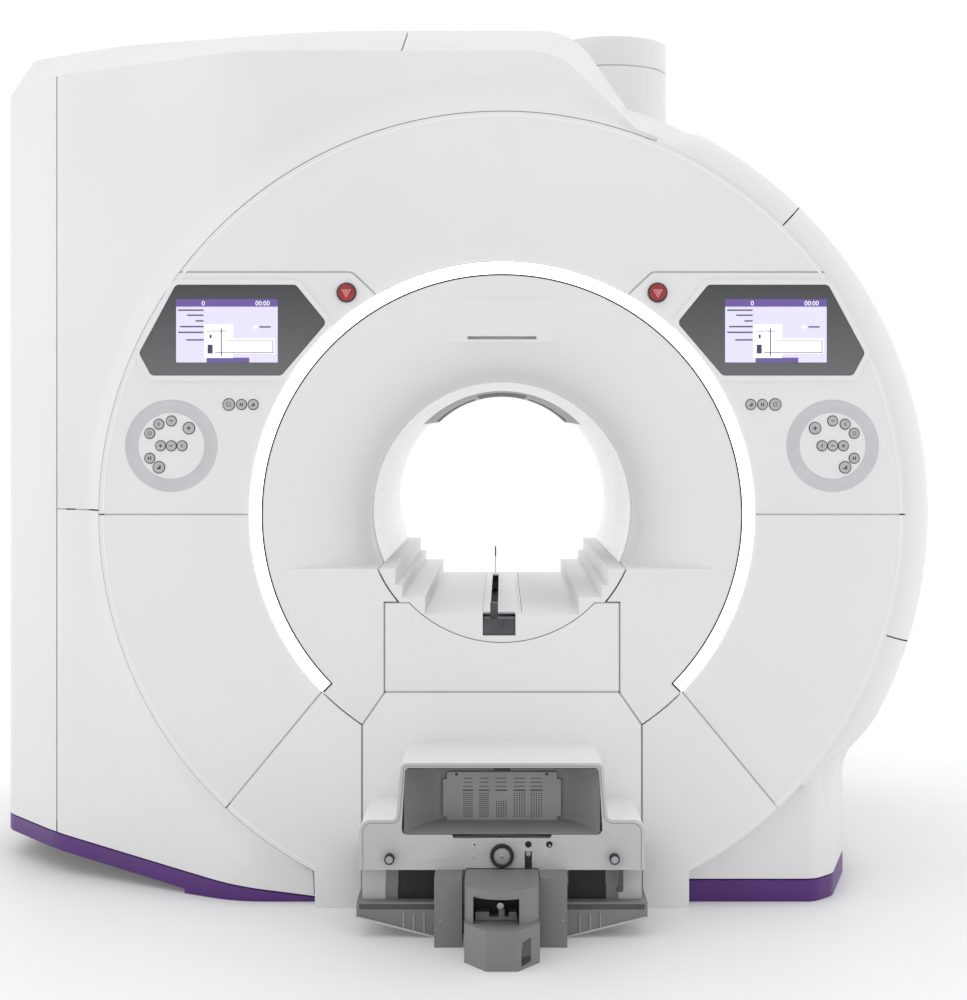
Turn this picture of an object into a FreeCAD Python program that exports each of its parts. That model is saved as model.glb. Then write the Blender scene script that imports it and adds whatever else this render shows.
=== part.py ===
"""A compact 1.5 T MRI scanner with a 700 mm patient bore and a table docking station.

Frame: the origin is on the floor under the isocentre.  +X is to the right of someone who
faces the scanner, +Y runs into the bore, +Z is up.  Lengths are in millimetres.
Heights marked "above iso" are counted from the isocentre, the middle of the magnet.
"""
import FreeCAD
import Part
import math
import os

# Overall stance
ISO_Z = 1020.0            # isocentre above the floor
FRONT_Y = -850.0          # plane of the front covers
PANEL_DEPTH = 60.0        # depth of the front cover trays
REAR_Y = 820.0            # back of the rear cover
SKIN = 6.0                # wall of the moulded covers
SEAM = 4.0                # open joint between neighbouring covers
FIT = 0.3                 # clearance of a piece in its seat
LAP = 30.0                # overlap of a cover's tongue behind its neighbour

# Patient bore, funnel and ring light
BORE_R = 350.0
LINER_WALL = 20.0
BORE_REAR_Y = 630.0
FLARE_R = 250.0           # rounding of the funnel between the front plane and the throat
REAR_FLARE_R = REAR_Y - BORE_REAR_Y
THROAT_R = BORE_R + SEAM
LEDGE_H = -141.0          # level of the bridge's shoulders and the funnel ledge, above iso
FUNNEL_R = 620.0
LIGHT_IN_R = FUNNEL_R + SEAM
LIGHT_WIDTH = 31.0
LIGHT_HALF_ANGLE = 134.5  # each side of the top, in degrees
LIGHT_PROUD = 1.0
BROW_TOP = 560.0          # the flat brow over the bore, heights above iso
BROW_BOTTOM = 448.0
BROW_BACK = 38.0
BROW_HALF = (264.0, 179.0)
BROW_SLOT = (90.0, 8.0, 20.0)

# Front disc
DISC_R = 1045.0
SKIRT_X = 485.0           # half width where the foot covers reach the floor
APRON_X = 363.0
APRON_TOP_X = 304.0
APRON_TOP = -460.0        # above iso
APRON_CORNER = -545.0
BRIDGE_COVER_TOP = -228.0
BRIDGE_COVER_X = 305.0
BRIDGE_NOTCH_R = 331.0
CROWN_CORNER = (389.0, 628.0, 25.0)   # where the crown's level seam turns down, above iso
CROWN_INNER = (260.0, 506.0)          # the seam's aim inside the ring light
CHEEK_INNER = (367.0, -339.0)         # the slanting seam between cheek and foot covers
CHEEK_OUTER = (872.0, -950.0)
RIM_REST = 15.0           # how far the body covers reach in behind the disc rim

# Magnet
WARM_BORE_R = 450.0
VESSEL_R = 960.0
VESSEL_HALF = 590.0
VESSEL_WALL = 12.0
GRADIENT_HALF = 570.0
FORMER_R = 520.0
FORMER_WALL = 20.0
FORMER_HALF = 480.0
COIL_DEPTH = 60.0
COILS = ((60.0, 70.0), (205.0, 90.0), (410.0, 120.0))   # (middle, width), each side of iso
STRUT_R = 14.0
FOOT_X = (330.0, 620.0)
FOOT_Y = 430.0
FOOT_LENGTH = 120.0
FOOT_PLATE = 25.0
ANCHOR_X = 670.0
ANCHOR_R = 14.0
ANCHOR_PLATE_X = 710.0
SADDLE_TOP = -540.0       # above iso
SUPPORT_ANGLES = (45, 135, 225, 315)
FRAME_THICK = 10.0
STANDOFF_RING_R = 800.0
STANDOFF_R = 30.0
SPINE_X = 300.0
SPINE_LOW = -640.0

# Body covers
BODY_LEFT = -DISC_R - 415.0
BODY_TOP = DISC_R + 170.0             # above iso
BODY_CORNER_R = 60.0
SHOULDER_X = 144.0
SHOULDER_R = 180.0
SHOULDER_END = (0.4976 * DISC_R, 0.8105 * DISC_R)   # inside the drum
SIDE_SEAM_X = -DISC_R - 205.0
DRUM_R = DISC_R + 105.0
DRUM_FRONT_Y = -600.0
DRUM_REAR_CHAMFER = 60.0
LEG_X = DISC_R - 85.0
LEG_FACETS = ((138.0, 0.0, 60.0), (80.0, 60.0, 80.0), (0.0, 330.0, 100.0))
                          # in from the side, back from the wall, rounding
LEG_TOP = -400.0          # above iso, inside the drum
UPPER_SEAM_ANGLE = 45.8
LOWER_SEAM_ANGLE = -17.5
REAR_SEAM_Y = 760.0
ROOF_RISE = 135.0
ROOF_RUN = 350.0
ROOF_SHOULDER = (SHOULDER_X + 56.0, SHOULDER_R)       # corner of the raised roof's right end
ROOF_END = (SHOULDER_END[0] - 20.0, SHOULDER_END[1] + 71.0)   # inside the drum
ROOF_SEAM_X = -265.0
BELOW_FLOOR = -100.0      # the outlines run on below the floor and are cut off there

# Base trim
TRIM_RIGHT_TOP = 57.0
TRIM_STEP_X = -850.0
TRIM_LEFT_START = 10.0
TRIM_LEFT_TOPS = ((TRIM_STEP_X, 57.0), (SIDE_SEAM_X, 110.0), (BODY_LEFT - 40.0, 118.0))
TRIM_HEIGHT = 45.0        # left of the step, where the trim is lifted off the floor

# Service turret
TURRET_X = 340.0
TURRET_Y = 120.0
TURRET_R = 175.0
TURRET_SEAM_H = BODY_TOP + 120.0
TURRET_TOP = BODY_TOP + 210.0
NECK_R = 110.0
NECK_TOP = 1150.0
COLD_FLANGE_R = 125.0
COLD_FLANGE = 20.0
COLD_BODY_R = 70.0
COLD_STAGE_R = 55.0
COLD_TOP = BODY_TOP + 165.0
COLD_BOTTOM = 930.0

# Controls, on the left; the right side mirrors them
DISPLAY = ((-845, 595), (-534, 595), (-454, 497), (-571, 360), (-909, 360), (-940, 418))
DISPLAY_CORNER_R = 15.0
BEZEL_WIDTH = 14.0
BEZEL_PROUD = 6.0
DISPLAY_DEPTH = 20.0
POCKET_FLOOR = 10.0
BOSS_DEPTH = 25.0
DIAL = (-857.0, 178.0)
DIAL_PAD_R = 132.0
MOAT = (85.6, 120.0)      # inner and outer radius of the dished ring
MOAT_DEPTH = 10.0
KEY_CIRCLE_R = 64.5
RING_KEYS = ((45, "large"), (90, "small"), (120, "small"), (150, "small"), (210, "small"),
             (240, "large"))
KEY_R = {"small": 12.0, "large": 14.0}
ROW_PITCH = 2.0 * KEY_R["small"] + 3.7
KEY_PROUD = 3.0
KEY_LENGTH = 16.0
KEY_TRAVEL = 1.5
KEY_WELL = 20.0
AUX_KEYS = ((-708.0, "large"), (-675.0, "small"), (-645.0, "small"))
AUX_H = 285.0
AUX_PAD = (-737.0, -619.0, 25.0)
STOP = (-403.0, 575.0)
STOP_R = 21.0
STOP_PROUD = 12.0
STOP_LENGTH = 24.0
STOP_PAD_R = 32.0

# Bore bridge and its track
BRIDGE_STEPS = ((200.0, -259.0), (259.0, -215.0), (277.0, -183.0))
BRIDGE_REAR_Y = 600.0
TRACK_HALF = 52.0
TRACK_PLATE = 6.0
CHANNEL = (-50.0, 35.0, -314.0)    # left, right and floor above iso
CHANNEL_REAR_Y = 560.0
TRACK_FRONT = 70.0                 # the track plate starts this far behind the front plane
TRACK_SLOT = (-31.0, -11.0)
CARRIER_LENGTH = 60.0
CARRIER_SETBACK = 4.0
CARRIER_RISE = 44.0
FINGER_RISE = 28.0
FINGER_LENGTH = 20.0

# Dock
DOCK_Y = -1130.0          # face of the dock
HAT = ((-347, 168, 0), (347, 168, 0), (347, 290, 29), (258, 290, 12), (246, 428, 15),
       (-246, 428, 15), (-258, 290, 12), (-347, 290, 29))
RECESS = ((-118, 245, 0), (118, 245, 0), (122, 253, 0), (245, 253, 12), (236, 416, 12),
          (-236, 416, 12), (-245, 253, 12), (-122, 253, 0))
HOUSING_WALL = 8.0
RECESS_DEPTH = 130.0
PORT_PLATE = ((-148, 272), (-138, 272), (-138, 254), (138, 254), (138, 272), (148, 272),
              (148, 366), (138, 366), (138, 384), (-138, 384), (-138, 366), (-148, 366))
PORT_THICK = 12.0
PIN = (273.0, 197.0)
PIN_R = 12.0
PIN_PROUD = 20.0
PIN_COLLAR_R = 17.0       # the collar that each pin stands on, flush with the dock face
COUPLING_Z = 203.0
COUPLING_R = 28.0
SMALL_HOLES = ((64.0, 230.0), (115.0, 230.0))
SMALL_HOLE_R = 7.5
RELEASE_SLOT = (55.0, 73.0, 213.0)
BEAM = (310.0, 182.0, 236.0)       # half width, underside and top
BEAM_GAP = 12.0
BEAM_DEPTH = 30.0
POSTS = ((-162.0, -95.0), (90.0, 156.0))
POST_FRONT_Y = -1202.0
POST_TOP = 168.0
WING_X = 355.0
WING_Z = (49.0, 86.0)
WING_BACK_Y = -950.0
BASE_PLATE = 8.0
RIB_PITCH = 40.0
PEDESTAL_X = 88.0
PEDESTAL_TOP = 172.0
PEDESTAL_FRONT_Y = -1350.0
STEP_Z = 92.0
STEP_FRONT_Y = -1390.0
FACET_X = 37.0
PEDESTAL_WINDOW = (-67.0, 40.0, 92.0, 153.0)
WINDOW_DEPTH = 90.0
HOOK = (290.0, 172.0)     # pivot of the latch hook
HOOK_PIN_R = 5.0
PIN_RUN = 0.05            # running clearance on the hook's pin
HOOK_THICK = 8.0
HOOK_DROP = 62.0
HOOK_WIDTH = 12.0

WALL_Y = FRONT_Y + PANEL_DEPTH
LIGHT_OUT_R = LIGHT_IN_R + LIGHT_WIDTH
OUTSIDE = DISC_R + LAP    # beyond the disc's edge
FRAME_LOW = TRIM_LEFT_TOPS[1][1] + LAP + SEAM         # clear of the trims and their tongues
LEFT_PLAN = ((SHOULDER_END[0], WALL_Y), (-700.0, WALL_Y, 300.0), (SIDE_SEAM_X, -480.0, 250.0),
             (BODY_LEFT + 10.0, -250.0, 120.0), (BODY_LEFT, -100.0, 100.0),
             (BODY_LEFT, REAR_Y, BODY_CORNER_R), (SHOULDER_END[0], REAR_Y))
ROOF_PLAN = ((-500.0, WALL_Y + ROOF_RUN, 1000.0), (SIDE_SEAM_X + 128.0, -249.0, 800.0),
             (BODY_LEFT + 10.0, -40.0, 120.0))        # edge of the raised part, left of the seam
V = FreeCAD.Vector


# Outlines and plain solids

def unit(u, v):
    """The direction (u, v) with length 1."""
    length = math.hypot(u, v)
    return u / length, v / length


def inset(points, distance):
    """An outline with its sides moved inwards, or outwards where distance is negative."""
    corners = [(p[0], p[1], p[2] if len(p) == 3 else 0.0) for p in points]
    nexts = corners[1:] + corners[:1]
    area = sum(a[0] * b[1] - b[0] * a[1] for a, b in zip(corners, nexts))
    turn = math.copysign(1.0, area)
    moved = []
    for before, here, after in zip(corners[-1:] + corners[:-1], corners, nexts):
        a = unit(here[0] - before[0], here[1] - before[1])
        b = unit(after[0] - here[0], after[1] - here[1])
        reach = turn * distance / (1.0 + a[0] * b[0] + a[1] * b[1])
        outward = turn * (a[0] * b[1] - a[1] * b[0]) > 0
        radius = max(here[2] + (-distance if outward else distance), 0.0) if here[2] else 0.0
        moved.append((here[0] - reach * (a[1] + b[1]), here[1] + reach * (a[0] + b[0]), radius))
    return moved


def closed_wire(points, place):
    """A wire through the outline's points, its corners rounded where a radius is given."""
    corners = [(p[0], p[1], p[2] if len(p) == 3 else 0.0) for p in points]
    stops = []
    for before, here, after in zip(corners[-1:] + corners[:-1], corners, corners[1:] + corners[:1]):
        if here[2] == 0.0:
            stops.append((here[:2], None, here[:2]))
            continue
        a = unit(before[0] - here[0], before[1] - here[1])
        b = unit(after[0] - here[0], after[1] - here[1])
        half = math.acos(max(-1.0, min(1.0, a[0] * b[0] + a[1] * b[1]))) / 2.0
        back = here[2] / math.tan(half)
        middle = unit(a[0] + b[0], a[1] + b[1])
        deep = here[2] / math.sin(half) - here[2]
        stops.append(((here[0] + back * a[0], here[1] + back * a[1]),
                      (here[0] + deep * middle[0], here[1] + deep * middle[1]),
                      (here[0] + back * b[0], here[1] + back * b[1])))
    edges = []
    for stop, following in zip(stops, stops[1:] + stops[:1]):
        if stop[1] is not None:
            edges.append(Part.Arc(place(*stop[0]), place(*stop[1]), place(*stop[2])).toShape())
        if math.dist(stop[2], following[0]) > 0.001:
            edges.append(Part.makeLine(place(*stop[2]), place(*following[0])))
    return Part.Wire(edges)


def prism(points, axis, low, high):
    """The outline run along X, Y or Z; it is given in the other two, in that order."""
    place = {"X": lambda u, v: V(low, u, v), "Y": lambda u, v: V(u, low, v),
             "Z": lambda u, v: V(u, v, low)}[axis]
    along = {"X": V(1, 0, 0), "Y": V(0, 1, 0), "Z": V(0, 0, 1)}[axis]
    return Part.Face(closed_wire(points, place)).extrude(along * (high - low))


def box(x, y, z):
    """A block between two values on each axis."""
    return Part.makeBox(x[1] - x[0], y[1] - y[0], z[1] - z[0], V(x[0], y[0], z[0]))


def rod(radius, near, far, x=0.0, z=ISO_Z):
    """A round bar along Y, on the bore axis unless another place is given."""
    return Part.makeCylinder(radius, far - near, V(x, near, z), V(0, 1, 0))


def tube(outer, inner, near, far):
    """A round pipe on the bore axis."""
    return rod(outer, near, far).cut(rod(inner, near, far))


def turned(points, half_angle=180.0):
    """A profile of (y, radius) points turned about the bore axis, evenly about the top."""
    face = Part.Face(closed_wire(points, lambda y, r: V(0, y, ISO_Z + r)))
    face.rotate(V(0, 0, ISO_Z), V(0, 1, 0), -half_angle)
    return face.revolve(V(0, 0, ISO_Z), V(0, 1, 0), 2.0 * half_angle)


def from_iso(points):
    """Outline points whose heights are counted from the isocentre."""
    return [(p[0], ISO_Z + p[1]) + tuple(p[2:]) for p in points]


def mirrored(shape):
    """The same piece for the other side of the scanner."""
    return shape.mirror(V(0, 0, 0), V(1, 0, 0))


def both(shape):
    """A left piece and its right twin as two separate solids."""
    return Part.makeCompound([shape, mirrored(shape)])


def joined(shapes):
    """One shape out of several that touch."""
    return shapes[0].multiFuse(shapes[1:]).removeSplitter()


# Front covers

def cover_blank(shrink, near):
    """The disc with its straight-sided skirt down to the floor, less the round middle."""
    disc = rod(DISC_R - shrink, near, WALL_Y)
    skirt_x = SKIRT_X - shrink
    skirt = box((-skirt_x, skirt_x), (near, WALL_Y), (shrink, ISO_Z))
    above = box((-DISC_R, DISC_R), (near, WALL_Y), (shrink, ISO_Z + DISC_R))
    middle = rod(LIGHT_OUT_R + SEAM / 2.0 + shrink, near, WALL_Y)
    return disc.fuse(skirt).common(above).cut(middle)


def front_cover(points):
    """A moulded tray that fills its share of the disc, face forward and open behind."""
    share = inset(from_iso(points), SEAM / 2.0)
    tray = cover_blank(0.0, FRONT_Y).common(prism(share, "Y", FRONT_Y, WALL_Y))
    inside = prism(inset(share, SKIN), "Y", FRONT_Y + SKIN, WALL_Y)
    return tray.cut(cover_blank(SKIN, FRONT_Y + SKIN).common(inside))


def crown_cover():
    """The cover over the top of the ring light."""
    x, h, r = CROWN_CORNER
    return front_cover([(-OUTSIDE, h), (-x, h, r), (-CROWN_INNER[0], CROWN_INNER[1]), CROWN_INNER,
                        (x, h, r), (OUTSIDE, h), (OUTSIDE, OUTSIDE), (-OUTSIDE, OUTSIDE)])


def pad(radius, place):
    """A round thickening behind a cover's face."""
    return rod(radius, FRONT_Y, FRONT_Y + BOSS_DEPTH, place[0], ISO_Z + place[1])


def key_places():
    """Where the left side's keys sit: (name, x, height above iso, size)."""
    ring = [(DIAL[0] + KEY_CIRCLE_R * math.cos(math.radians(a)),
             DIAL[1] + KEY_CIRCLE_R * math.sin(math.radians(a)), size) for a, size in RING_KEYS]
    row = [(DIAL[0] + step * ROW_PITCH, DIAL[1], "small") for step in (-1, 0, 1)]
    keys = [("key_%d" % (n + 1),) + key for n, key in enumerate(ring + row)]
    aux = [("aux_key_%d" % (n + 1), x, AUX_H, size) for n, (x, size) in enumerate(AUX_KEYS)]
    return keys + aux


def display_outline(grow):
    """The six-sided display glass, grown for its bezel or its pocket."""
    return inset([(x, ISO_Z + h, DISPLAY_CORNER_R) for x, h in DISPLAY], -grow)


def control_cover():
    """The left cover with the display pocket, the dial pad, the key wells and the stop well."""
    x, h, r = CROWN_CORNER
    cover = front_cover([(-OUTSIDE, 0), (-CROWN_INNER[0], 0), (-CROWN_INNER[0], CROWN_INNER[1]),
                         (-x, h, r), (-OUTSIDE, h)])
    bezel = prism(display_outline(BEZEL_WIDTH), "Y", FRONT_Y - BEZEL_PROUD,
                  FRONT_Y + DISPLAY_DEPTH + POCKET_FLOOR - BEZEL_PROUD)
    bezel = bezel.common(tube(DISC_R, LIGHT_OUT_R + SEAM / 2.0, FRONT_Y - BEZEL_PROUD, WALL_Y))
    aux = box(AUX_PAD[:2], (FRONT_Y, FRONT_Y + BOSS_DEPTH),
              (ISO_Z + AUX_H - AUX_PAD[2], ISO_Z + AUX_H + AUX_PAD[2]))
    cover = joined([cover, bezel, pad(DIAL_PAD_R, DIAL), aux, pad(STOP_PAD_R, STOP)])
    cover = cover.cut(prism(display_outline(FIT), "Y", FRONT_Y - BEZEL_PROUD,
                            FRONT_Y + DISPLAY_DEPTH - BEZEL_PROUD))
    middle = (MOAT[0] + MOAT[1]) / 2.0
    moat = Part.Face(Part.Wire([
        Part.Arc(V(MOAT[0], FRONT_Y, 0), V(middle, FRONT_Y + MOAT_DEPTH, 0),
                 V(MOAT[1], FRONT_Y, 0)).toShape(),
        Part.makeLine(V(MOAT[1], FRONT_Y, 0), V(MOAT[0], FRONT_Y, 0))]))
    moat = moat.revolve(V(0, 0, 0), V(0, 1, 0), 360.0)
    moat.translate(V(DIAL[0], 0, ISO_Z + DIAL[1]))
    wells = [rod(KEY_R[size] + FIT, FRONT_Y, FRONT_Y + KEY_WELL, at_x, ISO_Z + at_h)
             for _, at_x, at_h, size in key_places()]
    stop = rod(STOP_R + FIT, FRONT_Y, FRONT_Y + KEY_WELL, STOP[0], ISO_Z + STOP[1])
    return cover.cut(Part.makeCompound([moat, stop])).cut(Part.makeCompound(wells))


def button(radius, proud, length, x, h):
    """A round key or stop button with a softened front edge."""
    body = rod(radius, FRONT_Y - proud, FRONT_Y - proud + length, x, ISO_Z + h)
    rim = [edge for edge in body.Edges if abs(edge.BoundBox.YMax - (FRONT_Y - proud)) < FIT]
    return body.makeFillet(proud / 3.0, rim[:1])


def display():
    """The left display: a slab of dark glass in its pocket, slightly below the bezel."""
    return prism(display_outline(0.0), "Y", FRONT_Y - BEZEL_PROUD / 2.0,
                 FRONT_Y + DISPLAY_DEPTH - BEZEL_PROUD)


def cheek_cover():
    """The cover between the control cover and the foot cover."""
    return front_cover([(-OUTSIDE, 0), (-OUTSIDE, CHEEK_OUTER[1]),
                        (-CHEEK_OUTER[0], CHEEK_OUTER[1]), (-CHEEK_INNER[0], CHEEK_INNER[1]),
                        (-CROWN_INNER[0], 0)])


def foot_cover():
    """The cover that runs down to the floor beside the apron."""
    return front_cover([(-CHEEK_INNER[0], CHEEK_INNER[1]), (-CHEEK_OUTER[0], CHEEK_OUTER[1]),
                        (-CHEEK_OUTER[0], -ISO_Z - SEAM), (-APRON_X, -ISO_Z - SEAM),
                        (-APRON_X, CHEEK_INNER[1])])


def plain_tray(points):
    """A tray in the front plane that follows its own outline."""
    share = inset(points, SEAM / 2.0)
    return prism(share, "Y", FRONT_Y, WALL_Y).cut(
        prism(inset(share, SKIN), "Y", FRONT_Y + SKIN, WALL_Y))


def apron_outline():
    """The apron's outline, down to the floor."""
    low = ISO_Z + APRON_CORNER
    top = ISO_Z + APRON_TOP
    return [(-APRON_X, 0), (APRON_X, 0), (APRON_X, low), (APRON_TOP_X, top), (-APRON_TOP_X, top),
            (-APRON_X, low)]


def bridge_cover():
    """The removable cover under the bridge, notched round it."""
    x = BRIDGE_COVER_X
    top = ISO_Z + BRIDGE_COVER_TOP
    cover = plain_tray([(-x, ISO_Z + APRON_TOP), (x, ISO_Z + APRON_TOP), (x, top), (-x, top)])
    lip = tube(BRIDGE_NOTCH_R + SEAM / 2.0 + SKIN, BRIDGE_NOTCH_R + SEAM / 2.0, FRONT_Y, WALL_Y)
    body = box((-x + SEAM, x - SEAM), (FRONT_Y, WALL_Y), (ISO_Z + APRON_TOP, top - SEAM))
    return joined([cover, lip.common(body)]).cut(
        rod(BRIDGE_NOTCH_R + SEAM / 2.0, FRONT_Y, WALL_Y))


# Funnel, light, liner and bridge

def flare(grow, throat_y, face_y, radius, throat_r):
    """The trumpet-shaped space between a bore throat and a flat face, walls moved by grow."""
    way = math.copysign(1.0, throat_y - face_y)
    front = face_y - way * SEAM
    wide = throat_r + radius + SEAM
    return turned([(front, 0), (front, wide), (face_y + way * grow, wide),
                   (face_y + way * grow, throat_r + grow, radius - grow),
                   (throat_y + way * SEAM, throat_r + grow), (throat_y + way * SEAM, 0)])


def funnel_cover():
    """The moulded funnel: a flare above the ledge, a flat front below it, open behind."""
    throat_y = FRONT_Y + FLARE_R
    low_sector = tube(LIGHT_OUT_R - SEAM / 2.0, FUNNEL_R - SKIN, FRONT_Y, WALL_Y)
    low_sector = low_sector.cut(turned([(FRONT_Y, 0), (FRONT_Y, OUTSIDE), (WALL_Y, OUTSIDE),
                                        (WALL_Y, 0)], LIGHT_HALF_ANGLE))
    ledge = ISO_Z + LEDGE_H
    space = box((-DISC_R, DISC_R), (FRONT_Y - SEAM, throat_y + SEAM), (ledge, ISO_Z + DISC_R))
    behind = box((-DISC_R, DISC_R), (FRONT_Y - SEAM, throat_y + SEAM),
                 (ledge - SKIN, ISO_Z + DISC_R))
    blank = rod(FUNNEL_R, FRONT_Y, throat_y)
    hollow = rod(FUNNEL_R - SKIN, FRONT_Y + SKIN, throat_y)
    hollow = hollow.cut(flare(SKIN, throat_y, FRONT_Y, FLARE_R, THROAT_R).common(behind))
    hollow = hollow.cut(rod(THROAT_R + SKIN, FRONT_Y, throat_y))
    shell = blank.cut(hollow).fuse(low_sector).fuse(funnel_brow())
    shell = shell.cut(flare(0.0, throat_y, FRONT_Y, FLARE_R, THROAT_R).common(space).cut(
        funnel_brow()))
    x = BRIDGE_COVER_X + SEAM / 2.0
    below = [box((-x, x), (FRONT_Y, throat_y), (0, ISO_Z + BRIDGE_COVER_TOP + SEAM / 2.0)),
             prism(inset(apron_outline(), -SEAM / 2.0), "Y", FRONT_Y, throat_y),
             rod(THROAT_R, FRONT_Y, throat_y)]
    return shell.cut(below[0]).cut(below[1]).cut(below[2]).cut(brow_slot())


def funnel_brow():
    """The flat brow over the mouth of the bore, where the flare is filled to a slope."""
    slope = prism([(FRONT_Y, ISO_Z + BROW_TOP), (FRONT_Y + BROW_BACK, ISO_Z + BROW_BOTTOM),
                   (FRONT_Y + 2 * BROW_BACK, ISO_Z + BROW_BOTTOM),
                   (FRONT_Y + 2 * BROW_BACK, ISO_Z + BROW_TOP)], "X", -BROW_HALF[0], BROW_HALF[0])
    front = prism(from_iso([(-BROW_HALF[1], BROW_BOTTOM), (BROW_HALF[1], BROW_BOTTOM),
                            (BROW_HALF[0], BROW_TOP), (-BROW_HALF[0], BROW_TOP)]),
                  "Y", FRONT_Y, FRONT_Y + 2 * BROW_BACK)
    return slope.common(front)


def brow_slot():
    """The air slot along the foot of the brow."""
    half, high, deep = BROW_SLOT
    low = ISO_Z + BROW_BOTTOM + high
    return box((-half, half), (FRONT_Y, FRONT_Y + BROW_BACK + deep), (low, low + high))


def ring_light():
    """The lit ring: a translucent channel that stops short of the bottom."""
    return turned([(FRONT_Y - LIGHT_PROUD, LIGHT_IN_R), (FRONT_Y - LIGHT_PROUD, LIGHT_OUT_R),
                   (WALL_Y, LIGHT_OUT_R), (WALL_Y, LIGHT_IN_R)], LIGHT_HALF_ANGLE)


def bore_liner():
    """The patient bore: the tube that also carries the body coil."""
    return tube(BORE_R + LINER_WALL, BORE_R, FRONT_Y + FLARE_R, BORE_REAR_Y)


def bridge_section():
    """The bridge seen from the front: shoulders stepping down to the table trough."""
    right = []
    level = LEDGE_H
    for x, lower in reversed(BRIDGE_STEPS):
        right += [(x, level), (x, lower)]
        level = lower
    left = [(-x, h) for x, h in reversed(right)]
    return [(BORE_R, -BORE_R), (BORE_R, LEDGE_H)] + right + left + [(-BORE_R, LEDGE_H),
                                                                     (-BORE_R, -BORE_R)]


def bore_bridge():
    """The bridge that carries the table top through the bore, with the drive channel."""
    throat_y = FRONT_Y + FLARE_R
    front = rod(BORE_R - FIT, FRONT_Y, throat_y).cut(
        box((-BORE_R, BORE_R), (FRONT_Y, WALL_Y + SEAM),
            (0, ISO_Z + BRIDGE_COVER_TOP)).cut(rod(BRIDGE_NOTCH_R, FRONT_Y, WALL_Y + SEAM)))
    inside = rod(BORE_R - FIT, throat_y, BRIDGE_REAR_Y)
    bridge = front.fuse(inside).common(
        prism(from_iso(bridge_section()), "Y", FRONT_Y, BRIDGE_REAR_Y))
    left, right, floor = CHANNEL
    top = ISO_Z + BRIDGE_STEPS[0][1]
    channel = box((left, right), (FRONT_Y, CHANNEL_REAR_Y), (ISO_Z + floor, top))
    rebate = box((-TRACK_HALF - FIT, TRACK_HALF + FIT), (FRONT_Y + TRACK_FRONT, CHANNEL_REAR_Y),
                 (top - TRACK_PLATE, top))
    return bridge.cut(channel).cut(rebate)


def track_plate():
    """The plate over the drive channel, slotted for the carrier's finger."""
    top = ISO_Z + BRIDGE_STEPS[0][1]
    start = FRONT_Y + TRACK_FRONT + FIT
    plate = box((-TRACK_HALF, TRACK_HALF), (start, CHANNEL_REAR_Y - FIT), (top - TRACK_PLATE, top))
    return plate.cut(box(TRACK_SLOT, (start, CHANNEL_REAR_Y - CARRIER_LENGTH),
                         (top - TRACK_PLATE, top)))


def cradle_carrier():
    """The drive carrier that pulls the table top in: a block with a finger in the slot."""
    left, right, floor = CHANNEL
    near = FRONT_Y + CARRIER_SETBACK
    low = ISO_Z + floor + FIT
    block = box((left + FIT, right - FIT), (near, near + CARRIER_LENGTH), (low, low + CARRIER_RISE))
    finger_y = near + CARRIER_LENGTH / 3.0
    finger = box((TRACK_SLOT[0] + FIT, TRACK_SLOT[1] - FIT), (finger_y, finger_y + FINGER_LENGTH),
                 (low + CARRIER_RISE, ISO_Z + BRIDGE_STEPS[0][1] + FINGER_RISE))
    return joined([block, finger])


# Magnet

def cryostat_vessel():
    """The vacuum vessel: a closed ring with the service neck on its shoulder."""
    half = VESSEL_HALF
    outline = [(-half, WARM_BORE_R), (-half, VESSEL_R), (half, VESSEL_R), (half, WARM_BORE_R)]
    ring = turned(outline)
    neck = Part.makeCylinder(NECK_R, NECK_TOP, V(TURRET_X, TURRET_Y, ISO_Z))
    neck = neck.cut(rod(VESSEL_R - VESSEL_WALL, -half, half))
    inside = Part.makeCylinder(NECK_R - VESSEL_WALL, NECK_TOP + SEAM, V(TURRET_X, TURRET_Y, ISO_Z))
    inside = inside.cut(rod(FORMER_R, -half, half))
    return ring.fuse(neck).cut(turned(inset(outline, VESSEL_WALL))).cut(inside)


def main_windings():
    """The superconducting coils on their former, hung from the vessel by struts."""
    parts = [tube(FORMER_R + FORMER_WALL, FORMER_R, -FORMER_HALF, FORMER_HALF)]
    for middle, width in COILS:
        for y in (-middle, middle):
            parts.append(tube(FORMER_R + FORMER_WALL + COIL_DEPTH, FORMER_R + FORMER_WALL,
                              y - width / 2.0, y + width / 2.0))
    reach = VESSEL_R - VESSEL_WALL - FIT
    for angle in SUPPORT_ANGLES:
        way = V(math.cos(math.radians(angle)), 0, math.sin(math.radians(angle)))
        for y in (-COILS[-1][0], COILS[-1][0]):
            start = V(0, y, ISO_Z) + way * (FORMER_R + FORMER_WALL)
            strut = Part.makeCylinder(STRUT_R, VESSEL_R - FORMER_R, start, way)
            parts.append(strut.common(rod(reach, -FORMER_HALF, FORMER_HALF)))
    return joined(parts)


def gradient_coil():
    """The gradient coil, a heavy resin tube between the warm bore and the liner."""
    return tube(WARM_BORE_R - FIT, BORE_R + LINER_WALL + FIT, -GRADIENT_HALF, GRADIENT_HALF)


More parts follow.
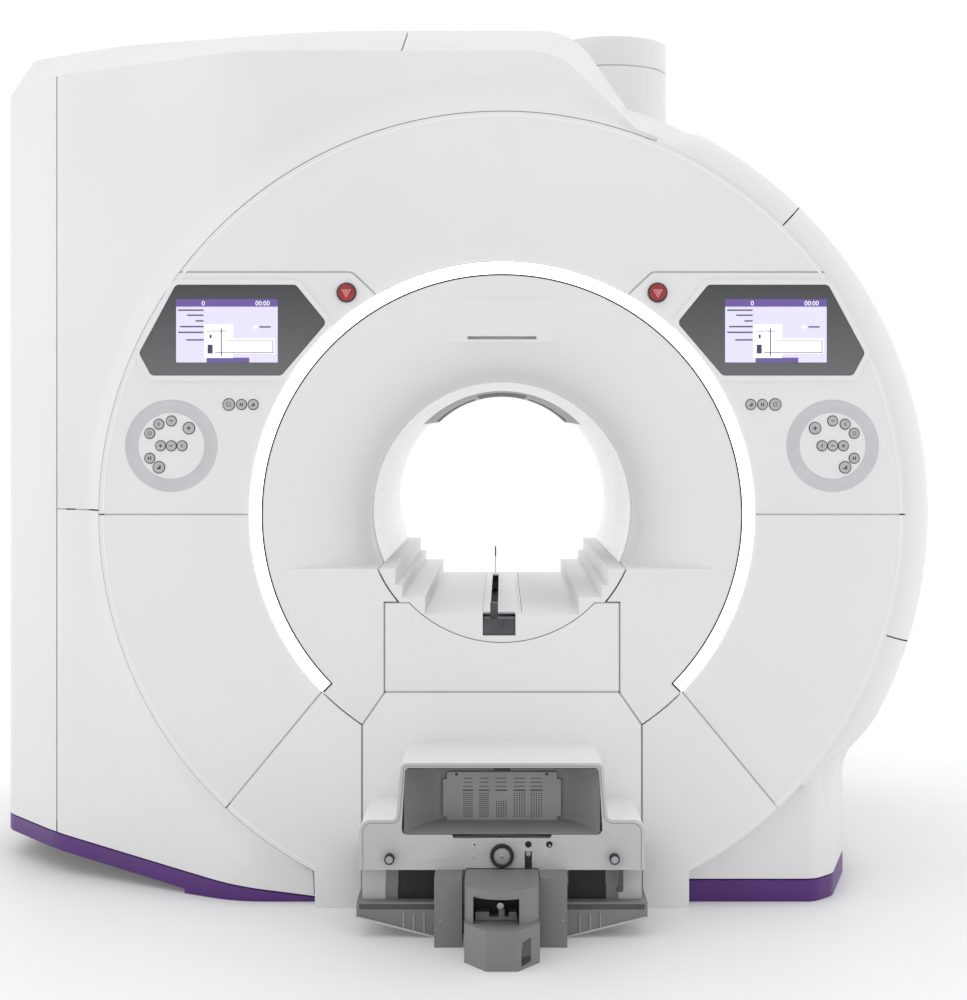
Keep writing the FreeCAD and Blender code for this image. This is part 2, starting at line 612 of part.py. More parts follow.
def magnet_feet():
    """Four saddles under the vessel, each on a plate with its floor anchor hole."""
    feet = []
    saddle_round = rod(VESSEL_R + FIT, -VESSEL_HALF, VESSEL_HALF)
    for side in (-1, 1):
        for y in (-FOOT_Y, FOOT_Y):
            across = sorted((side * FOOT_X[0], side * FOOT_X[1]))
            along = (y - FOOT_LENGTH / 2.0, y + FOOT_LENGTH / 2.0)
            saddle = box(across, along, (0, ISO_Z + SADDLE_TOP)).cut(saddle_round)
            plate = box(sorted((side * FOOT_X[0], side * ANCHOR_PLATE_X)), along, (0, FOOT_PLATE))
            hole = Part.makeCylinder(ANCHOR_R, FOOT_PLATE, V(side * ANCHOR_X, y, 0))
            feet.append(joined([saddle, plate]).cut(hole))
    return Part.makeCompound(feet)


def cold_head():
    """The refrigerator in the neck: flange, drive body above and cold stage below."""
    flange_z = ISO_Z + NECK_TOP
    return joined([
        Part.makeCylinder(COLD_FLANGE_R, COLD_FLANGE, V(TURRET_X, TURRET_Y, flange_z)),
        Part.makeCylinder(COLD_BODY_R, COLD_TOP - NECK_TOP, V(TURRET_X, TURRET_Y, flange_z)),
        Part.makeCylinder(COLD_STAGE_R, NECK_TOP - COLD_BOTTOM,
                          V(TURRET_X, TURRET_Y, ISO_Z + COLD_BOTTOM))])


def cover_frame():
    """The welded frame behind the front covers, on four standoffs from the vessel."""
    plate = tube(DISC_R - RIM_REST - SEAM, FUNNEL_R + FIT, WALL_Y, WALL_Y + FRAME_THICK)
    above = box((-DISC_R, DISC_R), (WALL_Y, WALL_Y + FRAME_THICK), (FRAME_LOW, ISO_Z + DISC_R))
    spine = box((-SPINE_X, SPINE_X), (WALL_Y, WALL_Y + FRAME_THICK),
                (ISO_Z + SPINE_LOW, ISO_Z + APRON_TOP + LAP))
    parts = [plate.common(above), spine]
    for angle in SUPPORT_ANGLES:
        x = STANDOFF_RING_R * math.cos(math.radians(angle))
        z = ISO_Z + STANDOFF_RING_R * math.sin(math.radians(angle))
        parts.append(rod(STANDOFF_R, WALL_Y + FRAME_THICK, -VESSEL_HALF, x, z))
    return joined(parts)


# Body covers

def body(shrink):
    """The whole body behind the disc: left block, drum and right leg, walls moved in."""
    left_front = from_iso([(BODY_LEFT, BODY_TOP, BODY_CORNER_R), (SHOULDER_X, BODY_TOP, SHOULDER_R),
                           SHOULDER_END])
    left_front += [(SHOULDER_END[0], BELOW_FLOOR), (BODY_LEFT, BELOW_FLOOR)]
    block = prism(inset(LEFT_PLAN, shrink), "Z", BELOW_FLOOR, ISO_Z + BODY_TOP + SEAM).common(
        prism(inset(left_front, shrink), "Y", WALL_Y - SEAM, REAR_Y + SEAM))
    rim = DISC_R + (DRUM_R - DISC_R) * PANEL_DEPTH / (DRUM_FRONT_Y - FRONT_Y)
    drum = turned([(WALL_Y + shrink, 0), (WALL_Y + shrink, rim - shrink),
                   (DRUM_FRONT_Y, DRUM_R - shrink), (REAR_Y - DRUM_REAR_CHAMFER, DRUM_R - shrink),
                   (REAR_Y - shrink, DRUM_R - DRUM_REAR_CHAMFER - shrink), (REAR_Y - shrink, 0)])
    leg_plan = [(0, WALL_Y)] + [(LEG_X - x, WALL_Y + y, r) for x, y, r in LEG_FACETS]
    leg_plan += [(LEG_X, REAR_Y, BODY_CORNER_R), (0, REAR_Y)]
    leg = prism(inset(leg_plan, shrink), "Z", BELOW_FLOOR, ISO_Z + LEG_TOP)
    above = box((BODY_LEFT, DRUM_R), (WALL_Y, REAR_Y), (0, ISO_Z + BODY_TOP))
    return block.fuse(drum).fuse(leg).common(above)


def ray(angle, reach=2.0 * DRUM_R):
    """A far point from the isocentre at an angle above +X."""
    return reach * math.cos(math.radians(angle)), reach * math.sin(math.radians(angle))


def seam_strip(angle, half):
    """A slab along the bore that straddles a seam running out from the isocentre."""
    near = ray(angle, DISC_R - 2.0 * LAP)
    far = ray(angle)
    u = -half * math.sin(math.radians(angle))
    v = half * math.cos(math.radians(angle))
    return prism(from_iso([(near[0] - u, near[1] - v), (far[0] - u, far[1] - v),
                           (far[0] + u, far[1] + v), (near[0] + u, near[1] + v)]),
                 "Y", WALL_Y, REAR_SEAM_Y - 2.0 * LAP)


def trim_region(grow):
    """The space of the base trims, as front outlines run along the whole body."""
    left = [(-SKIRT_X + SEAM, BELOW_FLOOR), (-SKIRT_X + SEAM, TRIM_LEFT_START + grow)]
    left += [(x, z + grow) for x, z in TRIM_LEFT_TOPS]
    left += [(TRIM_LEFT_TOPS[-1][0], BELOW_FLOOR)]
    right = [(SKIRT_X - SEAM, BELOW_FLOOR), (DRUM_R, BELOW_FLOOR), (DRUM_R, TRIM_RIGHT_TOP + grow),
             (SKIRT_X - SEAM, TRIM_RIGHT_TOP + grow)]
    return (prism(left, "Y", WALL_Y - SEAM, REAR_Y + SEAM),
            prism(right, "Y", WALL_Y - SEAM, REAR_Y + SEAM))


def body_pieces():
    """Every body cover and both base trims, with tongues behind the neighbouring covers."""
    outer = body(0.0)
    skin = outer.cut(body(SKIN))
    deep = body(2.0 * SKIN)
    double = outer.cut(deep)
    tongue = body(SKIN + FIT).cut(deep)
    disc_hole = rod(DISC_R - RIM_REST, WALL_Y - SEAM, WALL_Y + 3.0 * SKIN)
    turret_hole = Part.makeCylinder(TURRET_R - 2.0 * SKIN, BODY_TOP,
                                    V(TURRET_X, TURRET_Y, ISO_Z))
    trim_left, trim_right = trim_region(0.0)
    trim_gap = trim_region(SEAM)
    half = SEAM / 2.0
    low, high = BELOW_FLOOR, ISO_Z + BODY_TOP + LAP
    above_trim = TRIM_LEFT_TOPS[-1][1] + 2.0 * LAP
    covers_end = REAR_SEAM_Y - half
    near = WALL_Y - SEAM
    far_x = 2.0 * DRUM_R
    side = box((BODY_LEFT - LAP, SIDE_SEAM_X - half), (near, covers_end), (low, high))
    side_strip = box((SIDE_SEAM_X - LAP, SIDE_SEAM_X + LAP), (near, REAR_SEAM_Y - 2.0 * LAP),
                     (above_trim, high))
    lower = box((SIDE_SEAM_X + half, 0), (near, covers_end), (low, ISO_Z - half))
    lower_strip = box((SIDE_SEAM_X + 2.0 * LAP, -DISC_R), (near, REAR_SEAM_Y - 2.0 * LAP),
                      (ISO_Z - LAP, ISO_Z + LAP))
    upper = prism([(SIDE_SEAM_X + half, ISO_Z + half), (0, ISO_Z + half),
                   (ray(UPPER_SEAM_ANGLE)[0], ISO_Z + half + ray(UPPER_SEAM_ANGLE)[1]),
                   (SIDE_SEAM_X + half, ISO_Z + half + ray(UPPER_SEAM_ANGLE)[1])],
                  "Y", near, covers_end)
    right = prism(inset(from_iso([(0, 0), ray(LOWER_SEAM_ANGLE), (far_x, 0),
                                  ray(UPPER_SEAM_ANGLE)]), half), "Y", near, covers_end)
    seam_end = ray(LOWER_SEAM_ANGLE)
    leg = prism(inset([(0, low), (seam_end[0], low), (seam_end[0], ISO_Z + seam_end[1]),
                       (0, ISO_Z)], half), "Y", near, covers_end)
    rear = box((BODY_LEFT - LAP, DRUM_R + LAP), (REAR_SEAM_Y + half, REAR_Y + SEAM), (low, high))
    rear_strip = box((BODY_LEFT - LAP, DRUM_R + LAP), (REAR_SEAM_Y - LAP, REAR_SEAM_Y + LAP),
                     (above_trim, high))
    shares = {"left_side_cover": (side, side_strip), "left_lower_cover": (lower, lower_strip),
              "upper_body_cover": (upper, seam_strip(UPPER_SEAM_ANGLE, LAP)),
              "right_body_cover": (right, None),
              "right_leg_cover": (leg, seam_strip(LOWER_SEAM_ANGLE, LAP)),
              "rear_cover": (rear, rear_strip)}
    pieces = {}
    for name, (region, strip) in shares.items():
        piece = skin.common(region)
        if strip is not None:
            piece = joined([piece, double.common(region).common(strip),
                            tongue.common(strip.cut(region))])
        pieces[name] = piece.cut(trim_gap[0]).cut(trim_gap[1]).cut(disc_hole)
    pieces["upper_body_cover"] = pieces["upper_body_cover"].cut(turret_hole)
    pieces["rear_cover"] = with_rear_flare(pieces["rear_cover"])
    pieces["base_trims"] = Part.makeCompound(
        [base_trim(trim_left, double, tongue), base_trim(trim_right, double, tongue)])
    return pieces


def base_trim(region, double, tongue):
    """A purple trim along the foot of the covers, its tongue standing up behind them."""
    under = [(TRIM_STEP_X, 0)] + [(x, z - TRIM_HEIGHT) for x, z in TRIM_LEFT_TOPS]
    lifted = prism(under + [(TRIM_LEFT_TOPS[-1][0], 0)], "Y", WALL_Y, REAR_Y)
    tongue_region = region.copy()
    tongue_region.translate(V(0, 0, LAP))
    trim = joined([double.common(region), tongue.common(tongue_region)])
    behind_skirt = box((-SKIRT_X - SEAM, SKIRT_X + SEAM), (WALL_Y - SEAM, 0), (0, ISO_Z))
    return trim.cut(lifted).cut(behind_skirt)


def with_rear_flare(cover):
    """The rear cover with its own short flare down to the liner."""
    outer = flare(SKIN, BORE_REAR_Y, REAR_Y, REAR_FLARE_R, THROAT_R)
    keep = rod(THROAT_R + REAR_FLARE_R + SKIN, BORE_REAR_Y, REAR_Y)
    inner = flare(0.0, BORE_REAR_Y, REAR_Y, REAR_FLARE_R, THROAT_R)
    return cover.fuse(outer.common(keep)).cut(inner)


def left_roof(shrink):
    """The solid left roof: it follows the wall's plan below and a wider bend at its raised edge."""
    near = ROOF_SEAM_X - SEAM / 2.0
    back = REAR_Y - BODY_CORNER_R
    base = ISO_Z + BODY_TOP
    rings = []
    for front, corners, z in ((WALL_Y + SKIN, inset(LEFT_PLAN, SKIN)[1:4], base),
                              (WALL_Y + ROOF_RUN, ROOF_PLAN, base + ROOF_RISE)):
        points = [(near, front), *corners, (corners[-1][0], back), (near, back)]
        rings.append(closed_wire(inset(points, shrink), lambda x, y, level=z: V(x, y, level)))
    return Part.makeLoft(rings, True, True)


def right_roof(shrink):
    """The solid right roof: raised like the left one, it also rolls down over the shoulder."""
    near = ROOF_SEAM_X + SEAM / 2.0
    top = BODY_TOP + ROOF_RISE
    wires = []
    outlines = ((WALL_Y + SKIN, (SHOULDER_X, BODY_TOP, SHOULDER_R), SHOULDER_END),
                (WALL_Y + ROOF_RUN, (ROOF_SHOULDER[0], top, ROOF_SHOULDER[1]), ROOF_END))
    for y, corner, end in outlines:
        points = inset(from_iso([(near, end[1]), (near, corner[1]), corner, end]), shrink)
        wires.append(closed_wire(points, lambda x, z, front=y: V(x, front, z)))
    back = prism(points, "Y", WALL_Y + ROOF_RUN, REAR_Y - BODY_CORNER_R - shrink)
    return Part.makeLoft(wires, True, True).fuse(back)


def top_covers():
    """The two roof covers, hollow below; the right one clears the turret."""
    inner = left_roof(SKIN)
    inner.translate(V(0, 0, -SKIN))
    left = left_roof(0.0).cut(inner)
    clear = turret(ISO_Z, ISO_Z + TURRET_TOP, -SEAM / 2.0)
    right = right_roof(0.0).cut(right_roof(SKIN)).cut(body(-FIT)).cut(clear)
    return Part.makeCompound([left, right])


def turret(low, high, shrink):
    """An upright round bar on the turret's axis."""
    return Part.makeCylinder(TURRET_R - shrink, high - low, V(TURRET_X, TURRET_Y, low))


def turret_cover():
    """The turret's wall, standing on the body covers."""
    low, high = ISO_Z + BODY_TOP / 2.0, ISO_Z + TURRET_SEAM_H
    wall = turret(low, high, 0.0).cut(turret(low, high, SKIN))
    return wall.cut(body(-FIT))


def turret_lid():
    """The turret's lid, with a spigot that drops inside the wall."""
    seam_z, top = ISO_Z + TURRET_SEAM_H, ISO_Z + TURRET_TOP
    lid = turret(seam_z + SEAM, top, 0.0).cut(turret(seam_z + SEAM, top - SKIN, SKIN))
    spigot = turret(seam_z - LAP, top - SKIN, SKIN + FIT).cut(
        turret(seam_z - LAP, top - SKIN, 2.0 * SKIN))
    return joined([lid, spigot])


# Dock

def dock_housing():
    """The moulded dock cover with the recess for the coil ports, open below and behind."""
    outer = prism(HAT, "Y", DOCK_Y, FRONT_Y)
    inner = prism(inset(HAT, HOUSING_WALL), "Y", DOCK_Y + HOUSING_WALL, FRONT_Y)
    below = box((HAT[0][0] + HOUSING_WALL, HAT[1][0] - HOUSING_WALL),
                (DOCK_Y + HOUSING_WALL, FRONT_Y), (HAT[0][1], HAT[0][1] + 2.0 * HOUSING_WALL))
    tub = prism(inset(RECESS, -SKIN), "Y", DOCK_Y, DOCK_Y + RECESS_DEPTH + SKIN)
    shell = outer.cut(inner).cut(below).fuse(tub.common(outer))
    shell = shell.cut(prism(RECESS, "Y", DOCK_Y, DOCK_Y + RECESS_DEPTH))
    back = DOCK_Y + HOUSING_WALL
    holes = [rod(PIN_COLLAR_R + FIT, DOCK_Y, back, side * PIN[0], PIN[1]) for side in (-1, 1)]
    holes += [rod(COUPLING_R + FIT, DOCK_Y, back, 0.0, COUPLING_Z)]
    holes += [rod(SMALL_HOLE_R, DOCK_Y, back, x, z) for x, z in SMALL_HOLES]
    holes += [box(RELEASE_SLOT[:2], (DOCK_Y, back), (HAT[0][1], RELEASE_SLOT[2])),
              box((-PEDESTAL_X - FIT, PEDESTAL_X + FIT), (DOCK_Y, back),
                  (HAT[0][1], PEDESTAL_TOP + FIT))]
    return shell.cut(Part.makeCompound(holes))


def coil_port_panel():
    """The socket panel at the back of the recess."""
    back = DOCK_Y + RECESS_DEPTH
    return prism(PORT_PLATE, "Y", back - PORT_THICK, back)


def dock_frame():
    """The steel frame: posts, beam, guide pins, coupling, base plate and ribbed wings."""
    beam_front = DOCK_Y + BEAM_GAP
    beam_back = beam_front + BEAM_DEPTH
    parts = [box((-BEAM[0], BEAM[0]), (beam_front, beam_back), BEAM[1:])]
    parts += [rod(COUPLING_R, DOCK_Y - SKIN, beam_back, 0.0, COUPLING_Z)]
    for left, right in POSTS:
        parts += [box((left, right), (POST_FRONT_Y, beam_back), (0, POST_TOP - FIT)),
                  box((left, right), (beam_front, beam_back), (0, BEAM[1]))]
    parts += [box((POSTS[0][0], POSTS[1][1]), (beam_back, FRONT_Y - FIT), (0, BASE_PLATE))]
    for side in (-1, 1):
        root = POSTS[0][0] if side < 0 else POSTS[1][1]
        across = sorted((root, side * WING_X))
        plate = [(root, 0.0), (side * WING_X, WING_Z[0]), (side * WING_X, WING_Z[1]),
                 (root, WING_Z[1])]
        parts += [box(across, (beam_back, WING_BACK_Y), (WING_Z[1] - BASE_PLATE, WING_Z[1])),
                  prism(plate, "Y", beam_front, beam_back)]
        rib = root + side * RIB_PITCH
        while abs(rib) < WING_X:
            reach = WING_Z[0] * abs(rib - root) / abs(WING_X - abs(root))
            parts += [box(sorted((rib, rib + side * BASE_PLATE)), (beam_back, WING_BACK_Y),
                          (reach, WING_Z[1]))]
            rib += side * RIB_PITCH
    parts += [box((HOOK[0] - HOOK_WIDTH, HOOK[0] + HOOK_WIDTH), (beam_front, beam_back),
                  (HOOK[1] - HOOK_WIDTH, BEAM[1]))]
    bay = box((HOOK[0] - 2.0 * HOOK_WIDTH, BEAM[0]), (beam_front, beam_front + HOOK_WIDTH),
              (HOOK[1] - HOOK_WIDTH, HOOK[1] + 2.0 * HOOK_WIDTH))
    pins = [rod(HOOK_PIN_R, beam_front, beam_back, HOOK[0], HOOK[1])]
    for side in (-1, 1):
        pins += [rod(PIN_COLLAR_R, DOCK_Y, beam_back, side * PIN[0], PIN[1]),
                 rod(PIN_R, DOCK_Y - PIN_PROUD, beam_back, side * PIN[0], PIN[1])]
    return joined([joined(parts).cut(bay)] + pins)


def latch_hook():
    """The hook that holds the table: an eye on the pin and a J-shaped blade below."""
    near = DOCK_Y + BEAM_GAP + SEAM / 2.0
    x, z = HOOK
    half = HOOK_WIDTH / 2.0
    blade = prism([(x - half, z), (x + half, z), (x + half, z - HOOK_DROP, half),
                   (x - HOOK_WIDTH, z - HOOK_DROP, half), (x - HOOK_WIDTH, z - HOOK_DROP + half),
                   (x - half, z - HOOK_DROP + HOOK_WIDTH)], "Y", near, near + HOOK_THICK)
    eye = rod(HOOK_WIDTH * 0.75, near, near + HOOK_THICK, x, z)
    return joined([blade, eye]).cut(rod(HOOK_PIN_R + PIN_RUN, near, near + HOOK_THICK, x, z))


def dock_pedestal():
    """The docking pedestal: a round-nosed hollow tower on a faceted foot."""
    half = PEDESTAL_X
    back = DOCK_Y + BEAM_GAP - FIT
    tower = prism([(-half, back), (-half, PEDESTAL_FRONT_Y, half - FIT),
                   (half, PEDESTAL_FRONT_Y, half - FIT), (half, back)], "Z", 0, PEDESTAL_TOP)
    foot = prism([(-half, back), (-half, PEDESTAL_FRONT_Y + LAP), (-FACET_X, STEP_FRONT_Y),
                  (FACET_X, STEP_FRONT_Y), (half, PEDESTAL_FRONT_Y + LAP), (half, back)],
                 "Z", 0, STEP_Z)
    left, right, low, high = PEDESTAL_WINDOW
    window = box((left, right), (STEP_FRONT_Y, PEDESTAL_FRONT_Y + WINDOW_DEPTH), (low, high))
    return joined([tower, foot]).cut(window)


def all_pieces():
    """Every node of the scanner by name."""
    pieces = {
        "cryostat_vessel": cryostat_vessel(), "main_windings": main_windings(),
        "gradient_coil": gradient_coil(), "bore_liner": bore_liner(),
        "magnet_feet": magnet_feet(), "cold_head": cold_head(), "cover_frame": cover_frame(),
        "turret_cover": turret_cover(), "turret_lid": turret_lid(), "crown_cover": crown_cover(),
        "control_covers": both(control_cover()), "displays": both(display()),
        "cheek_covers": both(cheek_cover()), "foot_covers": both(foot_cover()),
        "funnel_cover": funnel_cover(), "ring_light": ring_light(), "bore_bridge": bore_bridge(),
        "track_plate": track_plate(), "bridge_cover": bridge_cover(),
        "apron_cover": plain_tray(apron_outline()), "dock_housing": dock_housing(),
        "coil_port_panel": coil_port_panel(), "dock_frame": dock_frame(),
        "dock_pedestal": dock_pedestal(), "top_covers": top_covers(),
        "cradle_carrier": cradle_carrier(), "latch_hook": latch_hook()}
    pieces.update(body_pieces())
    moving = {name: button(KEY_R[size], KEY_PROUD, KEY_LENGTH, x, h)
              for name, x, h, size in key_places()}
    moving["stop_button"] = button(STOP_R, STOP_PROUD, STOP_LENGTH, *STOP)
    for name, shape in moving.items():
        pieces["left_" + name] = shape
        pieces["right_" + name] = mirrored(shape)
    return pieces


os.makedirs("parts", exist_ok=True)
for node, piece in all_pieces().items():
    piece.exportStep("parts/%s.step" % node)
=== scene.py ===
"""Looks of a compact wide-bore MRI scanner with its docking station.

Lengths are in metres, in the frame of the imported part: the origin is on the floor under the
middle of the magnet, +X to the right of someone who faces the bore, +Y into it, +Z up.
"""

import math

import bmesh
import bpy
import numpy as np
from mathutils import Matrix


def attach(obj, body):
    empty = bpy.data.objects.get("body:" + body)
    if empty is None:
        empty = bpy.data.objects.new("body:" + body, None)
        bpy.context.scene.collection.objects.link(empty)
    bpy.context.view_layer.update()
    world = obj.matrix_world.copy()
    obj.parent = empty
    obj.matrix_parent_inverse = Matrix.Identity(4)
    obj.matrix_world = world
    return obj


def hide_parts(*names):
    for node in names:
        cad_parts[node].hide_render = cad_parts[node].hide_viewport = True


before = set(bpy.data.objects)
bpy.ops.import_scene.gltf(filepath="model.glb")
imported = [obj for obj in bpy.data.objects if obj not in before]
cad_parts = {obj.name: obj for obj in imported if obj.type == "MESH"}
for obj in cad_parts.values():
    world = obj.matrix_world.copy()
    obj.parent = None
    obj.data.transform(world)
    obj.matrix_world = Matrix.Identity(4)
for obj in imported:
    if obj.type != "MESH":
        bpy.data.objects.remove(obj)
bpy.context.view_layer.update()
scene = bpy.context.scene

# ---------------------------------------------------------------------------------------
# Studio.  A plain white room: one camera straight in front at chest height, a pale floor,
# light from the walls all round, a soft sun at the ceiling and two lamps inside the bore.

scene.view_settings.view_transform = "Standard"

camera_data = bpy.data.cameras.new("camera")
camera_data.lens = 62.5
camera_data.sensor_width = 36.0
camera_data.shift_x = -0.0185
camera_data.shift_y = -0.06
camera = bpy.data.objects.new("camera", camera_data)
camera.location = (0.0, -5.35, 1.213)
camera.rotation_euler = (math.pi / 2.0, 0.0, 0.0)
scene.collection.objects.link(camera)
scene.camera = camera


def linear(hex_colour):
    """An sRGB hex colour as linear RGBA: each channel c becomes ((c + 0.055) / 1.055) ^ 2.4."""
    srgb = np.array([int(hex_colour[i:i + 2], 16) for i in (1, 3, 5)]) / 255.0
    rgb = np.where(srgb <= 0.04045, srgb / 12.92, ((srgb + 0.055) / 1.055) ** 2.4)
    return (*rgb.tolist(), 1.0)


def add(tree, kind, settings=(), links=()):
    """Adds a node, sets its inputs or properties by name, and links (source, output) to inputs."""
    node = tree.nodes.new(kind)
    for key, value in dict(settings).items():
        if isinstance(key, int) or key in node.inputs:
            node.inputs[key].default_value = value
        else:
            setattr(node, key, value)
    for key, (source, output) in dict(links).items():
        tree.links.new(source.outputs[output], node.inputs[key])
    return node


def finish(name, **sockets):
    """A material named for its real finish, with constants on its Principled shader's sockets."""
    material = bpy.data.materials.new(name)
    material.use_nodes = True
    shader = material.node_tree.nodes["Principled BSDF"]
    for key, value in sockets.items():
        shader.inputs[key.replace("_", " ")].default_value = value
    return material, material.node_tree, shader


def mottled(tree, shader, low, high, scale):
    """Colour from low to high over a noise of that scale (cells per metre, Object coordinates)."""
    place = add(tree, "ShaderNodeTexCoord")
    noise = add(tree, "ShaderNodeTexNoise", {"Scale": scale, "Detail": 3.0},
                {"Vector": (place, "Object")})
    ramp = add(tree, "ShaderNodeValToRGB", links={"Fac": (noise, "Fac")})
    ramp.color_ramp.elements[0].position = 0.3
    ramp.color_ramp.elements[0].color = linear(low)
    ramp.color_ramp.elements[1].position = 0.7
    ramp.color_ramp.elements[1].color = linear(high)
    tree.links.new(ramp.outputs["Color"], shader.inputs["Base Color"])
    return place


def grained(tree, shader, place, scale, distance, rough):
    """Bump of that depth (m) over fine noise cells, and roughness that varies between rough."""
    grain = add(tree, "ShaderNodeTexNoise", {"Scale": scale, "Detail": 2.0},
                {"Vector": (place, "Object")})
    bump = add(tree, "ShaderNodeBump", {"Strength": 0.5, "Distance": distance},
               {"Height": (grain, "Fac")})
    tree.links.new(bump.outputs["Normal"], shader.inputs["Normal"])
    spread = add(tree, "ShaderNodeMapRange", {"To Min": rough[0], "To Max": rough[1]},
                 {"Value": (grain, "Fac")})
    tree.links.new(spread.outputs["Result"], shader.inputs["Roughness"])


def textured(name, low, high, scale, grain, rough, **sockets):
    """A finish mottled from low to high, with a grain of (cells per metre, depth in metres)."""
    material, tree, shader = finish(name, **sockets)
    place = mottled(tree, shader, low, high, scale)
    grained(tree, shader, place, *grain, rough)
    return material


# The floor is a pale sealed sheet, matt, with a faint cloudiness from its polish. Its colour is a
# fifth darker under the scanner, as painted shade from the scanner's bulk, and clears out to 2.6 m.
sealed_floor, tree, shader = finish("sealed_pale_floor", IOR=1.5, Emission_Strength=0.1)
shader.inputs["Emission Color"].default_value = (1.0, 1.0, 1.0, 1.0)
place = mottled(tree, shader, "#f6f6f6", "#fcfcfc", 0.8)
grained(tree, shader, place, 90.0, 0.0002, (0.5, 0.6))
away = add(tree, "ShaderNodeVectorMath", {"operation": "LENGTH"}, {0: (place, "Object")})
shade = add(tree, "ShaderNodeMapRange", {"interpolation_type": "SMOOTHSTEP", "From Min": 0.9,
                                         "From Max": 2.6, "To Min": 0.8, "To Max": 1.0},
            {"Value": (away, "Value")})
clouded = shader.inputs["Base Color"].links[0].from_socket
shaded = add(tree, "ShaderNodeVectorMath", {"operation": "SCALE"}, {"Scale": (shade, "Result")})
tree.links.new(clouded, shaded.inputs[0])
tree.links.new(shaded.outputs["Vector"], shader.inputs["Base Color"])
floor_mesh = bpy.data.meshes.new("floor")
floor_mesh.from_pydata([(-40, -40, 0), (40, -40, 0), (40, 40, 0), (-40, 40, 0)], [], [(0, 1, 2, 3)])
floor_mesh.materials.append(sealed_floor)
floor = bpy.data.objects.new("floor", floor_mesh)
scene.collection.objects.link(floor)

# The room's walls are white to look at.  They light the scanner most from the sides and
# behind, less from the front and from straight above, so what faces the front is greyer.
world = bpy.data.worlds.new("studio")
world.use_nodes = True
tree = world.node_tree
room = tree.nodes["Background"]
room.inputs["Color"].default_value = (1.0, 1.0, 1.0, 1.0)
way = add(tree, "ShaderNodeTexCoord")
parts = add(tree, "ShaderNodeSeparateXYZ", links={"Vector": (way, "Generated")})
around = add(tree, "ShaderNodeMapRange", {"From Min": -1.0, "From Max": -0.1, "To Min": 0.62,
                                          "To Max": 1.2}, {"Value": (parts, "Y")})
above = add(tree, "ShaderNodeMapRange", {"From Min": 0.0, "From Max": 1.0, "To Min": 1.0,
                                         "To Max": 0.74}, {"Value": (parts, "Z")})
strength = add(tree, "ShaderNodeMath", {"operation": "MULTIPLY"},
               {0: (around, "Result"), 1: (above, "Result")})
tree.links.new(strength.outputs["Value"], room.inputs["Strength"])
seen = add(tree, "ShaderNodeBackground", {"Color": (1.0, 1.0, 1.0, 1.0), "Strength": 1.0})
path = add(tree, "ShaderNodeLightPath")
mix = add(tree, "ShaderNodeMixShader", links={0: (path, "Is Camera Ray"), 1: (room, "Background"),
                                              2: (seen, "Background")})
tree.links.new(mix.outputs["Shader"], tree.nodes["World Output"].inputs["Surface"])
scene.world = world

# name, kind, place, aim, size (metres or, for the sun, radians), strength
for name, kind, place, aim, size, strength in (
        ("ceiling", "SUN", (-1.4, -2.4, 6.0), (0.0, 0.0, 1.0), 1.2, 0.4),
        ("bore_back", "AREA", (0.0, 0.9, 1.01), (0.0, -1.0, 1.01), 0.94, 0.5),
        ("bore_top", "AREA", (0.0, 0.1, 1.345), (0.0, 0.1, 0.5), 0.3, 0.4)):
    lamp = bpy.data.lights.new(name, kind)
    if kind == "SUN":
        lamp.angle = size
    else:
        lamp.shape = "DISK"
        lamp.size = size
    lamp.energy = strength
    holder = bpy.data.objects.new(name, lamp)
    holder.location = place
    way = np.array(place) - np.array(aim)
    holder.rotation_euler = (math.atan2(math.hypot(way[0], way[1]), way[2]),
                             0.0, math.atan2(way[0], -way[1]))
    scene.collection.objects.link(holder)

# ---------------------------------------------------------------------------------------
# Magnet.  A welded stainless vacuum vessel on four saddles, with the windings on their
# former inside, the refrigerator in its neck and the painted frame that carries the covers.


def dress(node, material):
    """Gives a CAD node its finish through its object's material slots."""
    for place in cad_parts[node].material_slots:
        place.material = material


# Ground stainless steel: even grey with fine streaks left by the grinding.
ground_steel = textured("ground_stainless_steel", "#9a9ca0", "#b4b6b9", 9.0,
                        (240.0, 0.0002), (0.3, 0.45), Metallic=1.0)
for node in ("cryostat_vessel", "magnet_feet", "cold_head", "cover_frame"):
    dress(node, ground_steel)

# Varnished copper wire: warm brown, turn upon turn, under a clear resin.
varnished_copper = textured("varnished_copper_wire", "#8a5a3c", "#b07a52", 30.0,
                            (500.0, 0.0003), (0.28, 0.42), Metallic=1.0)
dress("main_windings", varnished_copper)

# Cast epoxy: amber-grey, slightly glossy where it left the mould.
cast_epoxy = textured("cast_epoxy_resin", "#a89f86", "#bdb49a", 12.0,
                      (150.0, 0.0003), (0.32, 0.48), IOR=1.52)
dress("gradient_coil", cast_epoxy)

# ---------------------------------------------------------------------------------------
# Moulded covers.  Polyurethane mouldings about 6 mm thick, filled, sanded and sprayed with
# a satin white paint, hung on the frame with open joints of 4 mm between them.

# Sprayed satin paint: nearly even white, with orange peel of 1.5 mm cells that is drawn at
# 7 mm so that it shows, and sheen that changes a little with it.
satin_white = textured("satin_white_paint", "#eaeaeb", "#eeeeee", 1.6,
                       (140.0, 0.00012), (0.36, 0.44), IOR=1.5)


def link_piece(name, mesh, material, body):
    """Links a finished mesh as a piece that rides on a body."""
    piece = bpy.data.objects.new(name, mesh)
    mesh.materials.append(material)
    scene.collection.objects.link(piece)
    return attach(piece, body)


